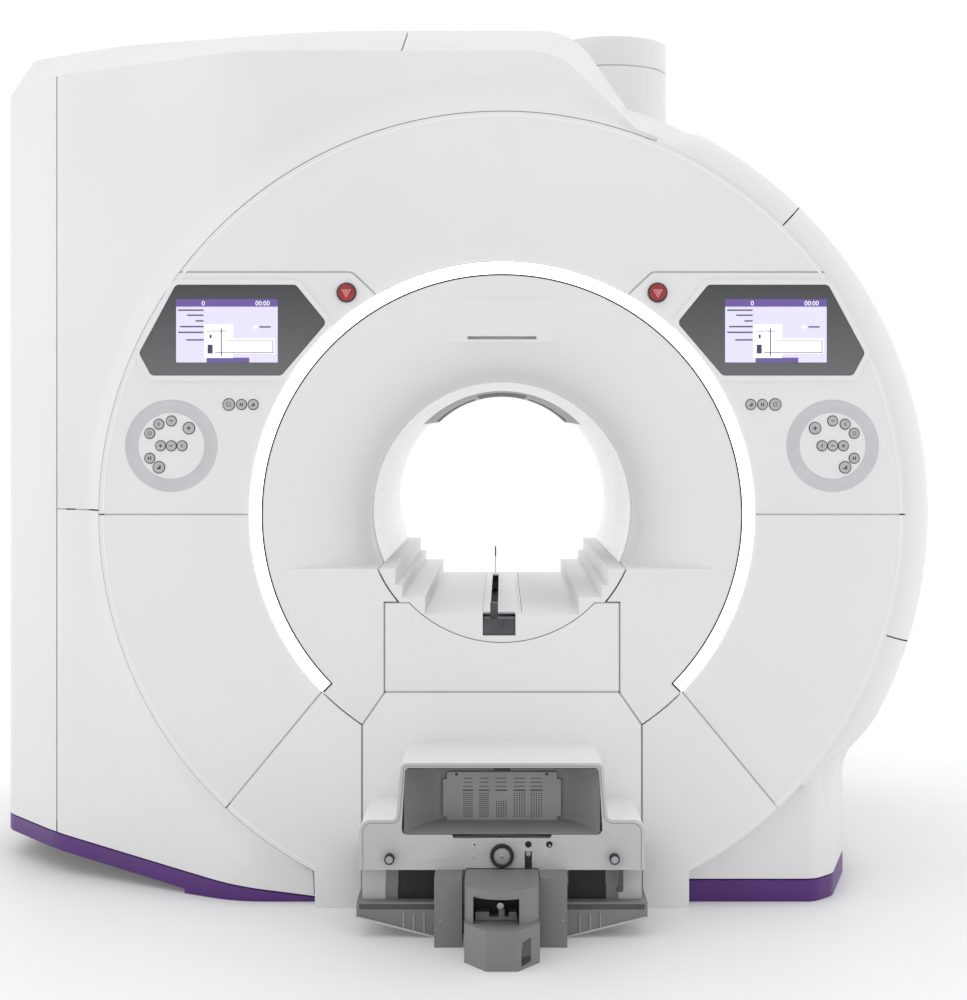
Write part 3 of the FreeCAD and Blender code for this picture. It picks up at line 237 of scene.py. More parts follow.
def softened(node, width, material=satin_white, body="scanner", cut=None):
    """A copy of a CAD node: doubles merged, flat faces made whole, edges rounded to width.

    cut(x, y, z) marks points, as arrays; faces with every corner marked are left out.
    """
    shape = bmesh.new()
    shape.from_mesh(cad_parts[node].data)
    bmesh.ops.remove_doubles(shape, verts=shape.verts, dist=2e-5)
    if cut is not None:
        marked = cut(*np.array([point.co for point in shape.verts]).T)
        shape.verts.index_update()
        faces = [face for face in shape.faces if all(marked[v.index] for v in face.verts)]
        bmesh.ops.delete(shape, geom=faces, context="FACES")
    bmesh.ops.dissolve_limit(shape, angle_limit=0.004, verts=shape.verts, edges=shape.edges)
    for face in shape.faces:
        face.smooth = True
    mesh = bpy.data.meshes.new(node + "_skin")
    shape.to_mesh(mesh)
    shape.free()
    piece = link_piece(node + "_skin", mesh, material, body)
    edge = piece.modifiers.new("rounded_edges", "BEVEL")
    edge.width = width
    edge.segments = 3
    edge.limit_method = "ANGLE"
    edge.angle_limit = math.radians(32.0)
    edge.harden_normals = True
    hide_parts(node)
    return piece


for node, width in (("crown_cover", 0.0045), ("control_covers", 0.0035), ("cheek_covers", 0.0045),
                    ("foot_covers", 0.0045), ("apron_cover", 0.003), ("bridge_cover", 0.002),
                    ("funnel_cover", 0.002), ("bore_bridge", 0.002), ("turret_cover", 0.006),
                    ("turret_lid", 0.008), ("top_covers", 0.006), ("left_side_cover", 0.012),
                    ("right_body_cover", 0.003), ("right_leg_cover", 0.003),
                    ("rear_cover", 0.008)):
    softened(node, width)

# Gel-coated glass fibre: the bore's tube, smoother and glossier than the sprayed covers.
gel_coat = textured("gel_coated_glass_fibre", "#f1f1f3", "#f6f6f7", 5.0,
                    (120.0, 0.00002), (0.26, 0.3), IOR=1.52)
dress("bore_liner", gel_coat)

# ---------------------------------------------------------------------------------------
# Body covers beside the disc.  The wall of the left block runs into the disc's rim in a
# hollow cove 118 mm wide; on the right the drum's edge rolls back from the rim instead.

RIM_R = 1.047
RIM_Y = -0.838
COVE = 0.118
ISO_Z = 1.02
WALL_Y = -0.79
BEND_X = -0.7
BEND_R = 0.3
TRIM_CLEAR = 0.075
FRONT = (0, -1, 0)


def wall_depth(x):
    """Y of the left block's front wall over x: flat, then a bend, then a run 0.31 back in 0.55."""
    slope = 0.31 / 0.55
    turn = math.atan(slope)
    start = BEND_X + BEND_R * math.tan(turn / 2.0)
    bend = WALL_Y + BEND_R - np.sqrt(np.maximum(BEND_R ** 2 - (x - start) ** 2, 0.0))
    end = start - BEND_R * math.sin(turn)
    run = WALL_Y + slope * (BEND_X - x)
    return np.where(x > start, WALL_Y, np.where(x > end, bend, run))


def beside_disc(x, y, z):
    """Marks the left block's front edge where it would stand proud of the cove."""
    r = np.hypot(x, z - ISO_Z)
    return (x < -0.69) & (y < -0.5) & (r > 1.025) & (r < 1.1515) & (y < wall_depth(x) + 0.02)


for node in ("upper_body_cover", "left_lower_cover"):
    softened(node, 0.006, cut=beside_disc)


def grid_faces(rows, columns, wrap=False):
    """The quads between the points of a grid, joined round along the columns where asked."""
    i = np.arange(rows - 1)[:, None] * columns
    j = np.arange(columns if wrap else columns - 1)[None, :]
    k = (j + 1) % columns
    return np.stack([i + j, i + k, i + columns + k, i + columns + j], -1).reshape(-1, 4)


def surface(name, points, material, body="scanner", wrap=False, facing=None, smooth=True):
    """A piece from grids of points, shape (..., rows, columns, 3), doubles merged.

    facing turns an open surface's faces towards it; without it a closed one faces outwards.
    """
    rows, columns = points.shape[-3:-1]
    sheets = points.reshape(-1, rows * columns, 3)
    faces = grid_faces(rows, columns, wrap)
    offsets = np.arange(len(sheets))[:, None, None] * rows * columns
    mesh = bpy.data.meshes.new(name)
    mesh.from_pydata(sheets.reshape(-1, 3), [], (faces + offsets).reshape(-1, 4))
    shape = bmesh.new()
    shape.from_mesh(mesh)
    bmesh.ops.remove_doubles(shape, verts=shape.verts, dist=1e-6)
    bmesh.ops.recalc_face_normals(shape, faces=shape.faces)
    if facing is not None:
        turn = np.array([face.normal[:] for face in shape.faces]) @ np.array(facing)
        if turn.sum() < 0.0:
            bmesh.ops.reverse_faces(shape, faces=shape.faces)
    for face in shape.faces:
        face.smooth = smooth
    shape.to_mesh(mesh)
    shape.free()
    if smooth:
        mesh.set_sharp_from_angle(angle=math.radians(38.0))
    return link_piece(name, mesh, material, body)


def cove(name, low, high):
    """The cove between two angles (degrees from +X).

    Its depth is the wall's, less the rise from wall to rim times (1 - t)^3 as t runs outwards.
    The width narrows where the block's shoulder or the base trim comes near the disc.
    """
    angle = np.radians(np.linspace(low, high, int(high - low) * 2))[None, :]
    t = np.linspace(0.0, 1.0, 19)[:, None]
    shoulder = 0.969 / np.maximum(np.cos(angle - math.radians(45.6)), 0.3) - 0.012
    floor = (TRIM_CLEAR - ISO_Z) / np.minimum(np.sin(angle), -0.5)
    room = np.where(angle < math.pi, shoulder, np.where(np.sin(angle) < -0.5, floor, 2.0))
    width = np.minimum(COVE, np.maximum(0.9 * (room - RIM_R), 0.002))
    r = RIM_R + 0.0018 + width * t
    x = r * np.cos(angle)
    rise = wall_depth(RIM_R * np.cos(angle)) - RIM_Y
    y = wall_depth(x) - rise * (1.0 - t) ** 3 + 0.0002 * t
    points = np.stack([x, y, ISO_Z + r * np.sin(angle) + 0.0 * t], -1)
    return surface(name, points, satin_white, facing=FRONT)


# Half of the 4 mm joint between two covers, in degrees at a radius of 1.1.
gap = math.degrees(0.002 / 1.1)
cove("upper_cove", 68.0, 180.0 - gap)
cove("lower_cove", 180.0 + gap, 241.0)

DRUM_R = 1.15
DRUM_Y = -0.6
DRUM_RIM_R = 1.066


def drum_edge(name, low, high):
    """The drum's rolled edge between two angles: a quarter ellipse from the rim back to DRUM_R.

    Towards the ends of the whole band it sinks into the cone that the cover has there.
    """
    angle = np.radians(np.linspace(low, high, max(int(high - low) * 2, 8)))[None, :]
    turn = np.linspace(0.0, math.pi / 2.0, 15)[:, None]
    y = DRUM_Y + (RIM_Y - DRUM_Y) * np.cos(turn)
    round_r = RIM_R + (DRUM_R - RIM_R) * np.sin(turn)
    back = np.clip((y - DRUM_Y) / (WALL_Y - DRUM_Y), 0.0, 1.0)
    cone_r = DRUM_R + (DRUM_RIM_R - DRUM_R) * back - 0.004
    start = np.clip(turn / 0.45, 0.0, 1.0)
    cone_r = RIM_R + (cone_r - RIM_R) * start * start * (3.0 - 2.0 * start)
    degrees = np.degrees(angle)
    fade = np.clip(np.minimum((degrees + 42.0) / 14.0, (67.5 - degrees) / 6.0), 0.0, 1.0)
    fade = fade * fade * (3.0 - 2.0 * fade)
    r = cone_r + (round_r - cone_r) * fade
    points = np.stack([r * np.cos(angle), y + 0.0 * angle, ISO_Z + r * np.sin(angle)], -1)
    return surface(name, points, satin_white, facing=FRONT)


drum_edge("drum_edge_top", 45.8 + gap, 67.5)
drum_edge("drum_edge_side", -17.5 + gap, 45.8 - gap)
drum_edge("drum_edge_low", -42.0, -17.5 - gap)

# Under the drum the right leg's side runs up into it in a hollow: at each depth y an arc of
# radius HOLLOW_R touches the drum's circle, of radius r, and the leg's side, at x.
HOLLOW_R = 0.3
y = np.concatenate([np.linspace(-0.76, -0.46, 13), np.linspace(-0.4, 0.75, 12)])[:, None]
x = np.interp(y, [-0.79, -0.73, -0.46], [0.822, 0.88, 0.9595])
r = np.interp(y, [WALL_Y, DRUM_Y], [DRUM_RIM_R, DRUM_R])
drop = np.sqrt((r + HOLLOW_R) ** 2 - (x + HOLLOW_R) ** 2)
first = math.pi - np.arctan2(drop, x + HOLLOW_R)
t = np.linspace(0.0, 1.0, 14)[None, :]
turn = math.pi + (first - math.pi) * t
points = np.stack([x + HOLLOW_R + HOLLOW_R * np.cos(turn), y + 0.0 * t,
                   ISO_Z - drop + HOLLOW_R * np.sin(turn)], -1)
LEG_X = 0.798
corner = np.tile([LEG_X, -0.7903, ISO_Z - math.sqrt(DRUM_RIM_R ** 2 - LEG_X ** 2)], (1, 14, 1))
surface("leg_hollow", np.concatenate([corner, points]), satin_white,
        facing=(1, 0, -0.3))

# Grey rubber: the soft strips that close the joints, matt and a little mottled.
grey_rubber = textured("grey_seam_rubber", "#8e8e90", "#989899", 60.0,
                       (500.0, 0.0001), (0.58, 0.72), IOR=1.52)

# The disc's edge is rolled over 13 mm.  It is cut through at the joints between the covers,
# which stand at these angles, in degrees from +X.
JOINTS = (-62.2, -46.75, 0.0, 36.94, 143.06, 180.0, 226.75, 242.2)


def arc_piece(name, profile, low, high, material, closed=False):
    """A profile of (radius, y) turned about the bore between two angles, in degrees."""
    profile = np.asarray(profile, float)
    angle = np.radians(np.linspace(low, high, max(int((high - low) * 1.5), 6)))[:, None]
    r = profile[None, :, 0]
    y = np.broadcast_to(profile[None, :, 1], (len(angle), len(profile)))
    points = np.stack([r * np.cos(angle), y, ISO_Z + r * np.sin(angle)], -1)
    if closed:
        ends = [np.repeat(points[i:i + 1].mean(1, keepdims=True), len(profile), 1) for i in (0, -1)]
        points = np.concatenate([ends[0], points, ends[1]])
        return surface(name, points, material, wrap=True)
    return surface(name, points, material, facing=FRONT)


def section(inner, outer, front, back):
    """A rectangular profile between two radii and two depths."""
    return [(inner, front), (outer, front), (outer, back), (inner, back)]


turn = np.linspace(0.0, math.pi / 2.0, 9)
roll = np.stack([1.0325 + 0.0133 * np.sin(turn), -0.8372 - 0.0131 * np.cos(turn)], -1)
# The rolled edge is flatted and polished after spraying, which makes it glossier; its brightest
# white is a painted highlight along the rim. The end stop's post shares this white.
highlight_and_post_white = textured("rim_highlight_and_post_white", "#fafafa", "#ffffff", 6.0,
                          (140.0, 0.0001), (0.2, 0.28), IOR=1.5)
for n, (low, high) in enumerate(zip(JOINTS[:-1], JOINTS[1:])):
    arc_piece("disc_roll_%d" % n, roll, low + 0.12, high - 0.12, highlight_and_post_white)
arc_piece("rim_strip", section(1.0457, 1.049, -0.8368, -0.834), 69.0, 242.2, grey_rubber,
          closed=True)


def rounded(corners, steps=6):
    """A line through (u, v, radius) corners with each corner's arc cut into short chords."""
    corners = np.asarray([(*corner, 0.0)[:3] for corner in corners])
    points = [corners[:1, :2]]
    for before, here, after in zip(corners[:-2], corners[1:-1], corners[2:]):
        a = (before - here)[:2] / np.linalg.norm((before - here)[:2])
        b = (after - here)[:2] / np.linalg.norm((after - here)[:2])
        if here[2] == 0.0:
            points.append(here[None, :2])
            continue
        half = math.acos(float(a @ b)) / 2.0
        middle = here[:2] + (a + b) / np.linalg.norm(a + b) * here[2] / math.sin(half)
        start = here[:2] + a * here[2] / math.tan(half) - middle
        end = here[:2] + b * here[2] / math.tan(half) - middle
        t = np.linspace(0.0, 1.0, steps)[:, None]
        turn = math.pi - 2.0 * half
        points.append(middle + (np.sin((1.0 - t) * turn) * start + np.sin(t * turn) * end)
                      / math.sin(turn))
    points.append(corners[-1:, :2])
    return np.concatenate(points)


def band(name, path, width, front, back, material):
    """A strip of rectangular section along a path of (x, z) points, closed at both ends."""
    along = np.gradient(path, axis=0)
    along /= np.linalg.norm(along, axis=1, keepdims=True)
    across = np.stack([-along[:, 1], along[:, 0]], -1) * width / 2.0
    rows = []
    for side, y in ((1.0, front), (-1.0, front), (-1.0, back), (1.0, back)):
        edge = path + side * across
        rows.append(np.stack([edge[:, 0], np.full(len(path), y), edge[:, 1]], -1))
    points = np.stack(rows, 1)
    ends = [np.repeat(points[i:i + 1].mean(1, keepdims=True), 4, 1) for i in (0, -1)]
    return surface(name, np.concatenate([ends[0], points, ends[1]]), material, wrap=True,
                   smooth=False)


# Rubber strips 1 mm down in the joints between the front covers, grey at the apron's sides
# and the bridge cover and pale elsewhere.
STRIP_FRONT = -0.849
STRIP_BACK = -0.847
pale_rubber = textured("pale_seam_rubber", "#b2b2b4", "#bbbbbd", 60.0,
                       (500.0, 0.0001), (0.58, 0.72), IOR=1.52)
for side, sense in (("left", -1.0), ("right", 1.0)):
    for part, corners, material in (
            ("crown", [(0.33, 1.592), (0.389, 1.648, 0.025), (0.834, 1.648)], pale_rubber),
            ("cheek", [(0.66, 1.02), (1.031, 1.02)], pale_rubber),
            ("foot", [(0.469, 0.557), (0.705, 0.272)], pale_rubber),
            ("apron", [(0.363, 0.002), (0.363, 0.475)], grey_rubber),
            ("slant", [(0.3625, 0.477), (0.3055, 0.558)], pale_rubber),
            ("bridge", [(0.305, 0.561), (0.305, 0.791), (0.242, 0.792)], grey_rubber)):
        path = rounded(corners) * np.array([sense, 1.0])
        band("%s_%s_strip" % (side, part), path, 0.0038, STRIP_FRONT, STRIP_BACK, material)
band("apron_top_strip", np.array([(-0.302, 0.56), (0.302, 0.56)]), 0.0038, STRIP_FRONT, STRIP_BACK,
     pale_rubber)
# The strip between the foot cover and the left block turns the corner and drops to the trim.
band("left_skirt_strip", rounded([(-0.52, 0.118), (-0.4905, 0.096, 0.03), (-0.4875, 0.03)]), 0.0032,
     -0.8372, -0.834, grey_rubber)

# ---------------------------------------------------------------------------------------
# Ring light.  An opal acrylic channel lit from behind by LED strips, so it glows evenly.

# Opal acrylic: milky and lit through, with a faint unevenness in its glow.
opal_acrylic, tree, shader = finish("lit_opal_acrylic", Roughness=0.3, IOR=1.49,
                                    Emission_Strength=2.2)
place = mottled(tree, shader, "#ffffff", "#f8f9ff", 20.0)
glow = add(tree, "ShaderNodeTexNoise", {"Scale": 14.0}, {"Vector": (place, "Object")})
ramp = add(tree, "ShaderNodeValToRGB", links={"Fac": (glow, "Fac")})
ramp.color_ramp.elements[0].color = linear("#f6f8ff")
ramp.color_ramp.elements[1].color = linear("#ffffff")
tree.links.new(ramp.outputs["Color"], shader.inputs["Emission Color"])
dress("ring_light", opal_acrylic)

# Black rubber: the lamp's gasket in the joint along its inner wall and round its two ends;
# a thin pale lip closes the joint along its outer wall.
# The same black stands as painted shade in the bore roof's slots, the contact holes, the index
# holes, the release slot, the pedestal window, the foot's notch and the bays' openings.
black_rubber_and_shade = textured("black_gasket_rubber_and_painted_shade", "#1b1b1c", "#242426", 60.0,
                        (500.0, 0.0001), (0.52, 0.68), IOR=1.52)
arc_piece("lamp_gasket", section(0.6203, 0.6237, -0.8508, -0.842), -44.9, 224.9, black_rubber_and_shade,
          closed=True)
for n, low in enumerate((-45.0, 224.6)):
    arc_piece("lamp_end_gasket_%d" % n, section(0.622, 0.652, -0.8508, -0.842), low, low + 0.4,
              black_rubber_and_shade, closed=True)
pale_lip = textured("pale_lip_rubber", "#b9b9bb", "#c2c2c4", 60.0,
                    (500.0, 0.0001), (0.52, 0.68), IOR=1.5)
arc_piece("lamp_lip", section(0.6551, 0.6569, -0.8495, -0.846), -44.5, 224.5, pale_lip,
          closed=True)

# ---------------------------------------------------------------------------------------
# Base trims.  Purple-painted mouldings along the foot of the side covers.

# Sprayed purple paint: deep and satin, a touch lighter where it turns up to the light.
purple_paint = textured("satin_purple_paint", "#4f2070", "#55257a", 6.0,
                        (140.0, 0.00012), (0.38, 0.46), IOR=1.5)
softened("base_trims", 0.004, purple_paint)

# ---------------------------------------------------------------------------------------
# Displays.  Six-sided slabs of tinted glass in raised bezels.  Both show the same status
# page, made of thin lit blocks that lie on the glass.

# Tinted glass: dark grey, with a painted reflection that makes it paler towards the lower edge.
tinted_glass, tree, shader = finish("tinted_glass", Roughness=0.12, IOR=1.52, Coat_Weight=0.3)
place = add(tree, "ShaderNodeTexCoord")
height = add(tree, "ShaderNodeSeparateXYZ", links={"Vector": (place, "Object")})
painted_reflection = add(tree, "ShaderNodeValToRGB",
           links={"Fac": (add(tree, "ShaderNodeMapRange", {"From Min": 1.38, "From Max": 1.62},
                              {"Value": (height, "Z")}), "Result")})
painted_reflection.color_ramp.elements[0].color = linear("#6d6e70")
painted_reflection.color_ramp.elements[1].color = linear("#47484a")
tree.links.new(painted_reflection.outputs["Color"], shader.inputs["Base Color"])
dress("displays", tinted_glass)


def lit_ink(name, colour, strength):
    """A screen colour that gives its own light, in a faint chequer of 2 mm cells."""
    material, tree, shader = finish(name, Roughness=0.25, IOR=1.5, Emission_Strength=strength)
    place = add(tree, "ShaderNodeTexCoord")
    cells = add(tree, "ShaderNodeTexChecker", {"Scale": 500.0, "Color1": linear(colour)},
                {"Vector": (place, "Object")})
    dark = np.array(linear(colour)) * 0.94
    cells.inputs["Color2"].default_value = (*dark[:3].tolist(), 1.0)
    tree.links.new(cells.outputs["Color"], shader.inputs["Base Color"])
    tree.links.new(cells.outputs["Color"], shader.inputs["Emission Color"])
    return material


lavender = lit_ink("screen_lavender", "#d9d4f0", 0.35)
header_purple = lit_ink("screen_purple", "#6a569a", 0.3)
screen_white = lit_ink("screen_white", "#f7f7fb", 0.45)
screen_ink = lit_ink("screen_ink", "#4c4660", 0.1)


def bars(name, spans, front, back, material, body="scanner"):
    """Thin blocks, one for each (x low, x high, z low, z high), from front to back in Y.

    front and back are numbers, or arrays with one value for each block.
    """
    spans = np.asarray(spans, float)
    x = spans[:, [0, 1, 1, 0, 0]]
    z = spans[:, [2, 2, 3, 3, 2]]
    ring = np.stack([x[:, :4], np.zeros_like(x[:, :4]), z[:, :4]], -1)
    middle = np.repeat(ring.mean(1, keepdims=True), 4, 1)
    rows = np.stack([middle, ring, ring, middle], 1)
    front, back = [np.broadcast_to(y, len(spans)) for y in (front, back)]
    rows[..., 1] = np.stack([front, front, back, back], -1)[..., None]
    return surface(name, rows, material, body, wrap=True, smooth=False)


SCREEN_W = 0.263
SCREEN_TOP = 1.578
SCREEN_H = 0.164
# Each block of the page: left, right, top and bottom as shares of the screen.
page = {
    "field": ([(0.0, 1.0, 0.0, 1.0)], lavender, 0.8533),
    "header": ([(0.0, 1.0, 0.0, 0.12), (0.3, 0.72, 0.925, 1.0)], header_purple, 0.8536),
    "chart": ([(0.28, 0.56, 0.4, 0.93), (0.56, 0.97, 0.62, 0.86), (0.76, 0.8, 0.42, 0.46)],
              screen_white, 0.8538),
    "lines": ([(0.02, 0.27, 0.165, 0.185), (0.11, 0.27, 0.245, 0.265), (0.19, 0.27, 0.335, 0.355),
               (0.04, 0.27, 0.425, 0.445), (0.02, 0.27, 0.515, 0.535), (0.1, 0.27, 0.635, 0.655),
               (0.82, 0.93, 0.43, 0.45), (0.3, 0.5, 0.5, 0.51), (0.44, 0.45, 0.46, 0.9),
               (0.38, 0.96, 0.84, 0.85), (0.5, 0.955, 0.655, 0.662), (0.95, 0.957, 0.655, 0.84),
               (0.31, 0.36, 0.72, 0.86), (0.33, 0.35, 0.56, 0.62)], screen_ink, 0.854)}


def number(name, text, size, x, z, y, material):
    """Figures as a mesh: the font's outline filled, laid in the front plane at (x, z)."""
    letters = bpy.data.curves.new(name, "FONT")
    letters.body = text
    letters.size = size
    holder = bpy.data.objects.new(name, letters)
    scene.collection.objects.link(holder)
    mesh = bpy.data.meshes.new_from_object(holder.evaluated_get(
        bpy.context.evaluated_depsgraph_get()))
    bpy.data.objects.remove(holder)
    flat = np.zeros(len(mesh.vertices) * 3)
    mesh.vertices.foreach_get("co", flat)
    flat = flat.reshape(-1, 3)
    upright = np.stack([x + flat[:, 0], np.full(len(flat), y), z + flat[:, 1]], -1)
    mesh.vertices.foreach_set("co", upright.ravel())
    mesh.materials.clear()
    return link_piece(name, mesh, material, "scanner")


for side, left in (("left", -0.844), ("right", 0.578)):
    for part, (spans, material, depth) in page.items():
        share = np.array(spans)
        places = np.stack([left + SCREEN_W * share[:, 0], left + SCREEN_W * share[:, 1],
                           SCREEN_TOP - SCREEN_H * share[:, 3],
                           SCREEN_TOP - SCREEN_H * share[:, 2]], -1)
        bars(side + "_screen_" + part, places, -depth, -0.8528, material)
    for part, figures, across in (("travel", "0", 0.066), ("clock", "00:00", 0.205)):
        number("%s_%s_number" % (side, part), figures, 0.017, left + across, SCREEN_TOP - 0.0165,
               -0.8541, screen_white)

# ---------------------------------------------------------------------------------------
# Key dials.  Round membrane keys in a pad inside a dished ring; each key is a moulded cap
# with a printed sign and sits in a darker well.

# Moulded polycarbonate cap: pale grey, fine spark-eroded grain that is drawn at 2 mm.
moulded_cap = textured("moulded_grey_cap", "#b4b4b6", "#bebec0", 60.0,
                       (600.0, 0.00008), (0.4, 0.5), IOR=1.58)

# Printed ink on the caps and dark rubber in the wells: matt and nearly black.
# The same dark grey stands as painted shade under the wings' top edge, in the contact slots, and in
# the notches at the recess's foot and the pedestal's foot.
dark_ink_rubber_and_shade = textured("dark_ink_rubber_and_shade", "#4a4a4c", "#565658", 80.0,
                       (700.0, 0.00008), (0.62, 0.78), IOR=1.52)


def turned(name, profile, centres, material, steps=40, facing=None):
    """Round pieces: a profile of (radius, y) turned about Y at each centre (x, z)."""
    profile = np.asarray(profile, float)
    angle = np.linspace(0.0, 2.0 * math.pi, steps, endpoint=False)
    centres = np.asarray(centres, float).reshape(-1, 1, 1, 2)
    r = profile[None, :, None, 0]
    x = centres[..., 0] + r * np.cos(angle)
    z = centres[..., 1] + r * np.sin(angle)
    y = np.broadcast_to(profile[None, :, None, 1], x.shape)
    return surface(name, np.stack([x, y, z], -1), material, wrap=True, facing=facing)


FACE_Y = -0.85
DIAL = (-0.857, 1.198)
ring_angles = np.radians([45.0, 90.0, 120.0, 150.0, 210.0, 240.0])
ring_keys = np.stack([DIAL[0] + 0.0645 * np.cos(ring_angles),
                      DIAL[1] + 0.0645 * np.sin(ring_angles)], -1)
row_keys = np.array([(DIAL[0] + step, DIAL[1]) for step in (-0.0277, 0.0, 0.0277)])
aux_keys = np.array([(-0.708, 1.305), (-0.675, 1.305), (-0.645, 1.305)])
key_places = np.concatenate([ring_keys, row_keys, aux_keys])
key_radii = np.array([14, 12, 12, 12, 12, 14, 12, 12, 12, 14, 12, 12]) / 1000.0
key_names = ["key_%d" % n for n in range(1, 10)] + ["aux_key_%d" % n for n in range(1, 4)]


def sign(index, x, z, size):
    """The bars of a key's printed sign: a cross, a bar, a frame, a pair or a stair."""
    s, w = size, size * 0.28
    kinds = (
        [(-s, s, -w, w), (-w, w, -s, s)],
        [(-s, s, -w, w)],
        [(-w, w, -s, s)],
        [(-s, s, s - w, s), (-s, s, -s, w - s), (-s, w - s, -s, s), (s - w, s, -s, s)],
        [(-s, -w, -s, s), (w, s, -s, s)],
        [(-s, -w, -s, -w), (-w, w, -s, w), (w, s, -s, s)])
    spans = np.array(kinds[index % len(kinds)])
    return spans + np.array([x, x, z, z])


for side, sense in (("left", 1.0), ("right", -1.0)):
    places = key_places * np.array([sense, 1.0])
    for n, (name, (x, z), radius) in enumerate(zip(key_names, places, key_radii)):
        node = side + "_" + name
        dress(node, moulded_cap)
        bars(node + "_sign", sign(n, x, z, radius * 0.36), -0.8533, -0.8528, dark_ink_rubber_and_shade,
             node)
    for radius, chosen in ((0.014, key_radii > 0.013), (0.012, key_radii < 0.013)):
        turned("%s_key_wells_%d" % (side, radius * 1000),
               [(radius + 0.0003, -0.8495), (radius + 0.0003, -0.8506), (radius + 0.0022, -0.8506),
                (radius + 0.0028, -0.8495), (radius + 0.0003, -0.8495)],
               places[chosen], dark_ink_rubber_and_shade)

# The dished ring round the pad is sprayed a cooler, slightly darker grey.
cool_grey = textured("satin_cool_grey_paint", "#cfcfd4", "#d4d4d9", 12.0,
                     (140.0, 0.0001), (0.38, 0.46), IOR=1.5)
across = np.linspace(-0.0169, 0.0169, 13)
dish_y = FACE_Y + np.sqrt(0.019792 ** 2 - across ** 2) - 0.009792 - 0.0004
turned("dial_dish", np.stack([0.1028 + across, dish_y], -1),
       [DIAL, (-DIAL[0], DIAL[1])], cool_grey, steps=72, facing=FRONT)

# A small lamp window above one key of each ring; the lamp is off, so it is dark.
turned("key_lamps", [(0.0, -0.8508), (0.0018, -0.8506), (0.0026, -0.8499)],
       [(-0.899, 1.254), (0.899, 1.254)], dark_ink_rubber_and_shade, steps=16)

# ---------------------------------------------------------------------------------------
# Stop buttons.  Red moulded mushroom heads in dark collars, with a raised triangle.

# Moulded red nylon: saturated and slightly waxy.
red_nylon = textured("moulded_red_nylon", "#98262b", "#a63036", 40.0,
                     (500.0, 0.00008), (0.33, 0.43), IOR=1.53)

# Printed pale red: the triangle's ink.
pale_red = textured("printed_pale_red", "#d98f8c", "#e0a09c", 40.0,
                    (500.0, 0.00006), (0.45, 0.55), IOR=1.5)


def triangle_frame(x, z, outer, inner, front, back):
    """An inverted triangle's frame: two rings of three corners at each depth, closed round."""
    turn = np.radians([270.0, 30.0, 150.0])
    rows = []
    for reach, y in ((outer, back), (outer, front), (inner, front), (inner, back), (outer, back)):
        rows.append(np.stack([x + reach * np.cos(turn), np.full(3, y), z + reach * np.sin(turn)],
                             -1))
    return np.stack(rows)


STOP_Z = 1.595
for side, x in (("left", -0.403), ("right", 0.403)):
    node = side + "_stop_button"
    dress(node, red_nylon)
    for part, outer, inner in (("triangle", 0.0145, 0.0095), ("spot", 0.006, 0.0005)):
        surface("%s_%s" % (node, part), triangle_frame(x, STOP_Z, outer, inner, -0.8624, -0.8612),
                pale_red, node, wrap=True, smooth=False)
    turned(side + "_stop_collar",
           [(0.0213, -0.8495), (0.0213, -0.8535), (0.0222, -0.8545), (0.0245, -0.8545),
            (0.026, -0.853), (0.0262, -0.8495), (0.0213, -0.8495)],
           [(x, STOP_Z)], dark_ink_rubber_and_shade)

# ---------------------------------------------------------------------------------------
# Bridge and track.  A moulded bridge carries the table top through the bore; the plate
# over its drive channel is slotted for the carrier, a dark block on the drive belt.

# Moulded acetal: slick, slightly grey white.
moulded_acetal = textured("moulded_acetal", "#e2e2e6", "#e9e9ec", 8.0,
                          (200.0, 0.0001), (0.3, 0.38), IOR=1.48)
softened("track_plate", 0.001, moulded_acetal)

# Black anodised aluminium: dark grey, dull metal sheen.
black_anodised = textured("black_anodised_aluminium", "#4e4f52", "#5c5d60", 30.0,
                          (400.0, 0.0001), (0.36, 0.48), Metallic=0.6)
softened("cradle_carrier", 0.002, black_anodised, "cradle_carrier")

# The channel under the plate is lined in black; the plate has a scale and a dark side joint.
bars("channel_lining", [(-0.0499, 0.0349, 0.70605, 0.7062), (-0.04995, -0.0498, 0.7062, 0.7545),
                        (0.0348, 0.03495, 0.7062, 0.7545)], -0.83, 0.555, black_rubber_and_shade)
bars("plate_joint", [(0.0516, 0.0526, 0.7608, 0.7614)], -0.779, 0.55, black_rubber_and_shade)
marks = np.arange(-0.76, 0.3, 0.02)
bars("plate_scale", [(0.0435, 0.0455, 0.761, 0.7613)] * len(marks), marks, marks + 0.002,
     grey_rubber)

# End stop of the table: a black buffer on a slim acetal post at the bridge's far end.
bars("end_stop_post", [(-0.024, -0.02, 0.7612, 0.816)], 0.58, 0.588, highlight_and_post_white)
bars("end_stop_buffer", [(-0.0242, -0.0198, 0.816, 0.85)], 0.58, 0.588, black_rubber_and_shade)

# ---------------------------------------------------------------------------------------
# Bore roof.  A grey moulded panel in the rear half of the bore's roof carries its lamps and
# air slots; it starts flush with the tube and thickens towards the rear end.


TUBE_R = 0.35
ROOF_START = 0.215
ROOF_RUN = 0.413


def roof_arc(name, start, end, low, high, proud, material):
    """Part of the roof panel, from start to end (0 to 1 along it) and low to high (-1 to 1 across).

    At (t, s) it lies at angle s * (46 - 5.6 t) degrees from the top and proud of the tube's
    radius by t * (0.008 + 0.009 s^2); its edges turn out into the tube.
    """
    t = np.linspace(start, end, 9)[:, None]
    s = np.linspace(low, high, 41)[None, :]
    r = TUBE_R - 0.0003 - t * (0.008 + 0.009 * s * s) - proud
    r = np.pad(r, ((1, 1), (1, 1)), constant_values=TUBE_R + 0.0003)
    s = np.pad(s, ((0, 0), (1, 1)), "edge")
    t = np.pad(t, ((1, 1), (0, 0)), "edge")
    angle = np.radians(s * (46.0 - 5.6 * t))
    y = ROOF_START + ROOF_RUN * t + 0.0 * s
    points = np.stack([r * np.sin(angle), y, ISO_Z + r * np.cos(angle)], -1)
    surface(name, points, material, facing=(0, 0, -1))


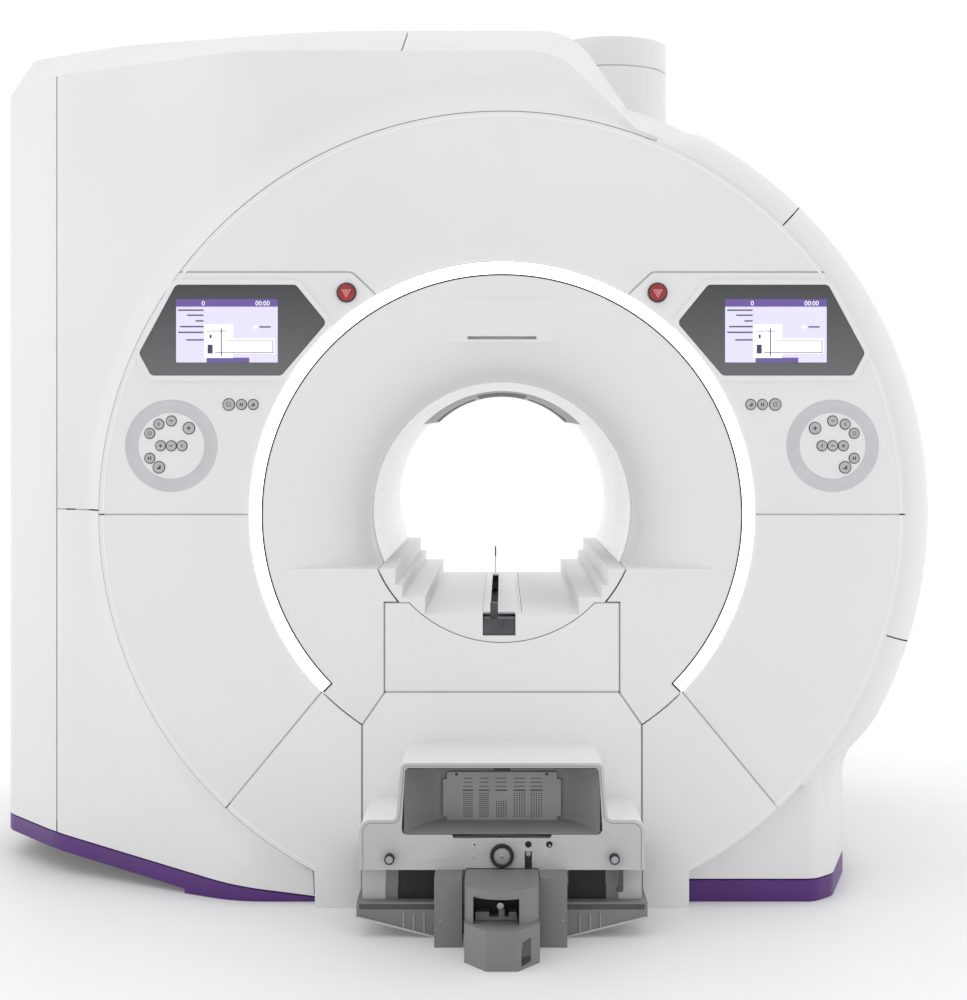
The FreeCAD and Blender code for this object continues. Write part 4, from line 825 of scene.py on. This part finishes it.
# Grey moulded polycarbonate: matt, with a faint mottle.
vent_grey = textured("grey_moulded_polycarbonate", "#8f8f91", "#9a9a9c", 20.0,
                     (350.0, 0.0001), (0.45, 0.55), IOR=1.58)
roof_arc("bore_roof_panel", 0.0, 1.0, -1.0, 1.0, 0.0, vent_grey)
# The air slots are thin black sheets just proud of the panel: painted shade in their openings.
for n, (low, high, start) in enumerate(((-0.97, -0.37, 0.72), (-0.31, 0.31, 0.3),
                                        (0.37, 0.97, 0.72))):
    roof_arc("bore_roof_slot_%d" % n, start, 0.93, low, high, 0.0006, black_rubber_and_shade)

# ---------------------------------------------------------------------------------------
# Dock.  A moulded housing over a cast frame: the housing's face and the socket recess are
# light grey, the frame and the docking pedestal darker, all sprayed with structure paint.

# Grey structure paint: matt, with a pebbled skin of 2 mm grains drawn at 5 mm.
light_structure = textured("light_grey_structure_paint", "#bfbfc0", "#c6c6c7", 5.0,
                           (220.0, 0.0002), (0.45, 0.58), IOR=1.5)

dark_structure = textured("dark_grey_structure_paint", "#7b7b7c", "#838384", 5.0,
                          (220.0, 0.0002), (0.45, 0.58), IOR=1.5)

socket_grey = textured("moulded_grey_sockets", "#a2a2a4", "#ababad", 20.0,
                       (350.0, 0.0001), (0.45, 0.55), IOR=1.53)

DOCK_FACE = -1.13
housing = softened("dock_housing", 0.006)
housing.data.materials.append(light_structure)
face_centres = np.zeros(len(housing.data.polygons) * 3)
housing.data.polygons.foreach_get("center", face_centres)
face_normals = np.zeros(len(housing.data.polygons) * 3)
housing.data.polygons.foreach_get("normal", face_normals)
on_face = (face_centres[1::3] < DOCK_FACE + 0.0005) & (face_normals[1::3] < -0.99)
housing.data.polygons.foreach_set("material_index", on_face.astype(int))
housing.modifiers["rounded_edges"].material = 0

# A fine groove runs round the grey face, 8 mm in from the hood's white edge.
groove = rounded([(-0.3385, 0.17), (-0.3385, 0.2815, 0.021), (-0.2502, 0.2815, 0.02),
                  (-0.2383, 0.4203, 0.008), (0.2383, 0.4203, 0.008), (0.2502, 0.2815, 0.02),
                  (0.3385, 0.2815, 0.021), (0.3385, 0.17)])
band("face_groove", groove, 0.0022, DOCK_FACE - 0.0003, DOCK_FACE + 0.001, grey_rubber)

# Recess lining: grey structure paint on walls that draw in from the opening to the panel.
recess_grey = textured("recess_structure_paint", "#8c8c8f", "#959598", 5.0,
                       (220.0, 0.0002), (0.46, 0.6), IOR=1.5)
ring_turn = np.linspace(0.0, 2.0 * math.pi, 96, endpoint=False)
c, s = np.cos(ring_turn), np.sin(ring_turn)
rows = []
# depth behind the face, half width, lowest and highest height, squareness of the corners
for back, half, low, high, square in (
        (0.0015, 0.2385, 0.2545, 0.4145, 42.0), (0.006, 0.2375, 0.2555, 0.4135, 42.0),
        (0.03, 0.228, 0.2585, 0.408, 36.0), (0.06, 0.212, 0.261, 0.402, 30.0),
        (0.09, 0.193, 0.2625, 0.397, 27.0), (0.113, 0.171, 0.2635, 0.393, 27.0),
        (0.1245, 0.158, 0.2635, 0.39, 27.0), (0.1275, 0.12, 0.28, 0.375, 27.0),
        (0.1275, 0.0, 0.33, 0.33, 27.0)):
    reach = (np.abs(c) ** square + np.abs(s) ** square) ** (-1.0 / square)
    rows.append(np.stack([half * reach * c, np.full(96, DOCK_FACE + back),
                          (low + high) / 2.0 + (high - low) / 2.0 * reach * s], -1))
surface("recess_lining", np.stack(rows), recess_grey, wrap=True, facing=FRONT)
# The lining's sill: a shallow arched notch at the foot of the opening, drawn as a dark band of
# painted shade, and a catch at its top.
bars("recess_catch", [(-0.02, 0.02, 0.409, 0.4155)], DOCK_FACE - 0.0004, DOCK_FACE + 0.004,
     black_rubber_and_shade)
sill_x = np.linspace(-0.117, 0.117, 25)
sill = np.stack([sill_x, 0.2475 + 0.0035 * (1.0 - (sill_x / 0.117) ** 2)], -1)
band("recess_sill", sill, 0.003, DOCK_FACE + 0.001, DOCK_FACE + 0.006, dark_ink_rubber_and_shade)

softened("coil_port_panel", 0.0015, socket_grey)
# Contact pins: five columns of five by up to twelve blind holes, then three slots over each.
PANEL_Y = -1.012
columns = ((-0.095, -0.075, 0.273, 0.333), (-0.055, -0.035, 0.273, 0.333),
           (-0.013, 0.01, 0.273, 0.312), (0.031, 0.056, 0.273, 0.333),
           (0.073, 0.099, 0.273, 0.333))
holes = []
slots = []
for left, right, low, high in columns:
    x, z = np.meshgrid(np.linspace(left, right, 5), np.arange(low, high, 0.0052))
    x, z = x.ravel(), z.ravel()
    holes.append(np.stack([x - 0.0012, x + 0.0012, z - 0.0013, z + 0.0013], -1))
    for z in (0.347, 0.357, 0.367):
        slots.append((left - 0.001, right + 0.001, z, z + 0.0018))
# The holes and slots are dark sheets on the panel: painted shade in their openings.
bars("contact_holes", np.concatenate(holes), PANEL_Y - 0.0004, PANEL_Y + 0.0005, black_rubber_and_shade)
bars("contact_slots", slots, PANEL_Y - 0.0004, PANEL_Y + 0.0005, dark_ink_rubber_and_shade)
bars("contact_title_bars", [(left - 0.003, right + 0.003, 0.3365, 0.3395)
                            for left, right, _, _ in columns],
     PANEL_Y - 0.0008, PANEL_Y + 0.0005, dark_ink_rubber_and_shade)
turned("panel_screws", [(0.0, PANEL_Y - 0.0012), (0.0026, PANEL_Y - 0.0012),
                        (0.0034, PANEL_Y - 0.0002)],
       [(-0.114, 0.378), (0.112, 0.378), (-0.114, 0.26)], black_rubber_and_shade, steps=16)

softened("dock_frame", 0.0015, dark_structure)
softened("dock_pedestal", 0.002, dark_structure)
softened("latch_hook", 0.0008, black_anodised, "latch_hook")

# Pedestal window: a well whose back and reveals are black sheets, painted shade of the well, with
# the clamp's plates and rollers behind it.
bars("window_back", [(-0.0668, 0.0398, 0.0925, 0.1528)], -1.2625, -1.2605, black_rubber_and_shade)
bars("window_reveals", [(-0.0669, -0.0655, 0.0925, 0.1528), (0.0385, 0.0399, 0.0925, 0.1528),
                        (-0.0655, 0.0385, 0.1514, 0.1529)], -1.33, -1.2625, black_rubber_and_shade)
bars("window_clamp", [(-0.062, -0.03, 0.093, 0.112), (-0.03, 0.036, 0.093, 0.1005),
                      (-0.008, 0.006, 0.1005, 0.118), (0.016, 0.034, 0.1005, 0.112)],
     -1.3, -1.263, dark_structure)
turned("window_roller", [(0.0, -1.302), (0.008, -1.3015), (0.0095, -1.2995), (0.0095, -1.264)],
       [(-0.004, 0.126)], ground_steel, steps=28, facing=FRONT)


def slab(name, corners, push, material):
    """A thin slab between the polygon through the corners and the same one moved by push."""
    front = np.asarray(corners, float)
    back = front + np.asarray(push)
    rows = [np.repeat(ring.mean(0, keepdims=True), len(front), 0) for ring in (front, back)]
    surface(name, np.stack([rows[0], front, back, rows[1]]), material, wrap=True,
            smooth=False)


# The notch in the foot's right facet, as painted shade on two thin slabs: black below, and dark
# grey above where light falls in from above.
slab("foot_notch", [(0.0455, -1.379, 0.009), (0.066, -1.3508, 0.013), (0.066, -1.3508, 0.0265),
                    (0.0455, -1.379, 0.03)], (0.0008, -0.0006, 0.0), black_rubber_and_shade)
slab("foot_notch_top", [(0.0455, -1.379, 0.03), (0.066, -1.3508, 0.0265),
                        (0.066, -1.3508, 0.066), (0.049, -1.3742, 0.062)],
     (0.0008, -0.0006, 0.0), dark_ink_rubber_and_shade)
bars("pedestal_gasket", [(-0.0872, 0.0872, 0.1721, 0.1726)], -1.1395, -1.1312, black_rubber_and_shade)
turned("post_screws", [(0.0, -1.2034), (0.002, -1.2033), (0.0032, -1.2022)],
       [(-0.147, 0.065), (0.1445, 0.065)], ground_steel, steps=16, facing=FRONT)

# Wings: a dark band of painted shade under the top edge's ledge, a rolled lower edge and three ribs
# near the post.
for side, sense in (("left", -1.0), ("right", 1.0)):
    root = 0.1645 if sense < 0.0 else 0.158
    bars(side + "_wing_ledge_shade", [(*sorted((sense * root, sense * 0.348)), 0.069, 0.0815)],
         -1.1187, -1.117, dark_ink_rubber_and_shade)
    slope = 0.049 / (0.355 - root + 0.002)
    edge = np.array([(root, 0.0025), (0.354, 0.0025 + slope * (0.354 - root))])
    band(side + "_wing_edge", edge * np.array([sense, 1.0]), 0.0045, -1.1215, -1.117,
         light_structure)
    bars(side + "_wing_ribs",
         [(*sorted((sense * (x - 0.0015), sense * (x + 0.0015))), slope * (x - root) + 0.006, 0.06)
          for x in (0.19, 0.215, 0.24)], -1.1205, -1.117, socket_grey)

# Turned parts on the face: name, (radius, y) profile, places, material, slot and steps.
COUPLING = [(0.0, 0.203)]
PINS = [(-0.273, 0.197), (0.273, 0.197)]
for name, profile, places, material, slot, steps in (
        # Coupling: a black socket ring round a grey plunger with a bright turned centre.
        ("coupling_ring", [(0.0205, -1.1362), (0.0205, -1.1392), (0.0225, -1.1402),
                           (0.0265, -1.1402), (0.0285, -1.138), (0.029, -1.1305)],
         COUPLING, black_rubber_and_shade, "dark_metal", 64),
        ("coupling_plunger", [(0.0, -1.1405), (0.006, -1.1402), (0.014, -1.139), (0.0205, -1.1365)],
         COUPLING, socket_grey, "grey_plastic", 48),
        ("coupling_centre", [(0.0, -1.1416), (0.003, -1.1412), (0.0042, -1.1403)],
         COUPLING, ground_steel, "bare_steel", 24),
        # Guide pins: bright ground noses in black plastic sleeves that stand on the collars.
        ("pin_sleeves", [(0.0088, -1.1502), (0.0105, -1.1506), (0.0121, -1.1498),
                         (0.0123, -1.1304)], PINS, black_rubber_and_shade, "dark_metal", 40),
        ("pin_noses", [(0.0, -1.1509), (0.006, -1.1508), (0.0088, -1.1503)],
         PINS, ground_steel, "bare_steel", 32),
        ("pin_collars", [(0.0123, -1.1303), (0.0168, -1.1303), (0.0172, -1.1298)],
         PINS, light_structure, "dock_grey", 40),
        # Black liners in the two index holes, as painted shade of the holes, with a bright pin in
        # one of them.
        ("index_liners", [(0.0, -1.1265), (0.0073, -1.1265), (0.0074, -1.1303), (0.0079, -1.1304)],
         [(0.064, 0.23), (0.115, 0.23)], black_rubber_and_shade, "dark_metal", 32),
        ("index_pin", [(0.0, -1.1296), (0.003, -1.1293), (0.0042, -1.127)],
         [(0.116, 0.2268)], ground_steel, "bare_steel", 20)):
    turned(name, profile, places, material, steps=steps, facing=FRONT)

# A black liner in the release slot, as its painted shade, and a grey pin in it; and two pan-head
# screws of which the upper has a dark drive.
bars("release_liner", [(0.0553, 0.0727, 0.17, 0.2127)], -1.1275, -1.126, black_rubber_and_shade)
turned("release_pin", [(0.0, -1.1306), (0.0035, -1.1304), (0.0062, -1.1285), (0.0064, -1.127)],
       [(0.064, 0.2065)], socket_grey, steps=28, facing=FRONT)
turned("face_screws", [(0.0022, -1.1307), (0.0046, -1.1306), (0.0054, -1.1301)],
       [(-0.067, 0.23), (-0.067, 0.2)], light_structure, steps=24, facing=FRONT)
turned("face_screw_drives", [(0.0, -1.1303), (0.0023, -1.1305)], [(-0.067, 0.23)], black_rubber_and_shade,
       steps=12, facing=FRONT)

# Bays under the face: a pale panel, a grey strip and, in the opening each side of the posts, a
# black sheet of painted shade.
for side, sense in (("left", -1.0), ("right", 1.0)):
    for part, low, high, y, material, slot in (
            ("panel", 0.286, 0.343, -1.0865, light_structure, "dock_grey"),
            ("strip", 0.256, 0.285, -1.0855, dark_structure, "dock_grey"),
            ("opening", 0.163, 0.255, -1.084, black_rubber_and_shade, "dark_metal")):
        across = sorted((sense * low, sense * high))
        bars("%s_bay_%s" % (side, part), [(*across, 0.0865, 0.181)], y, y + 0.0035, material)
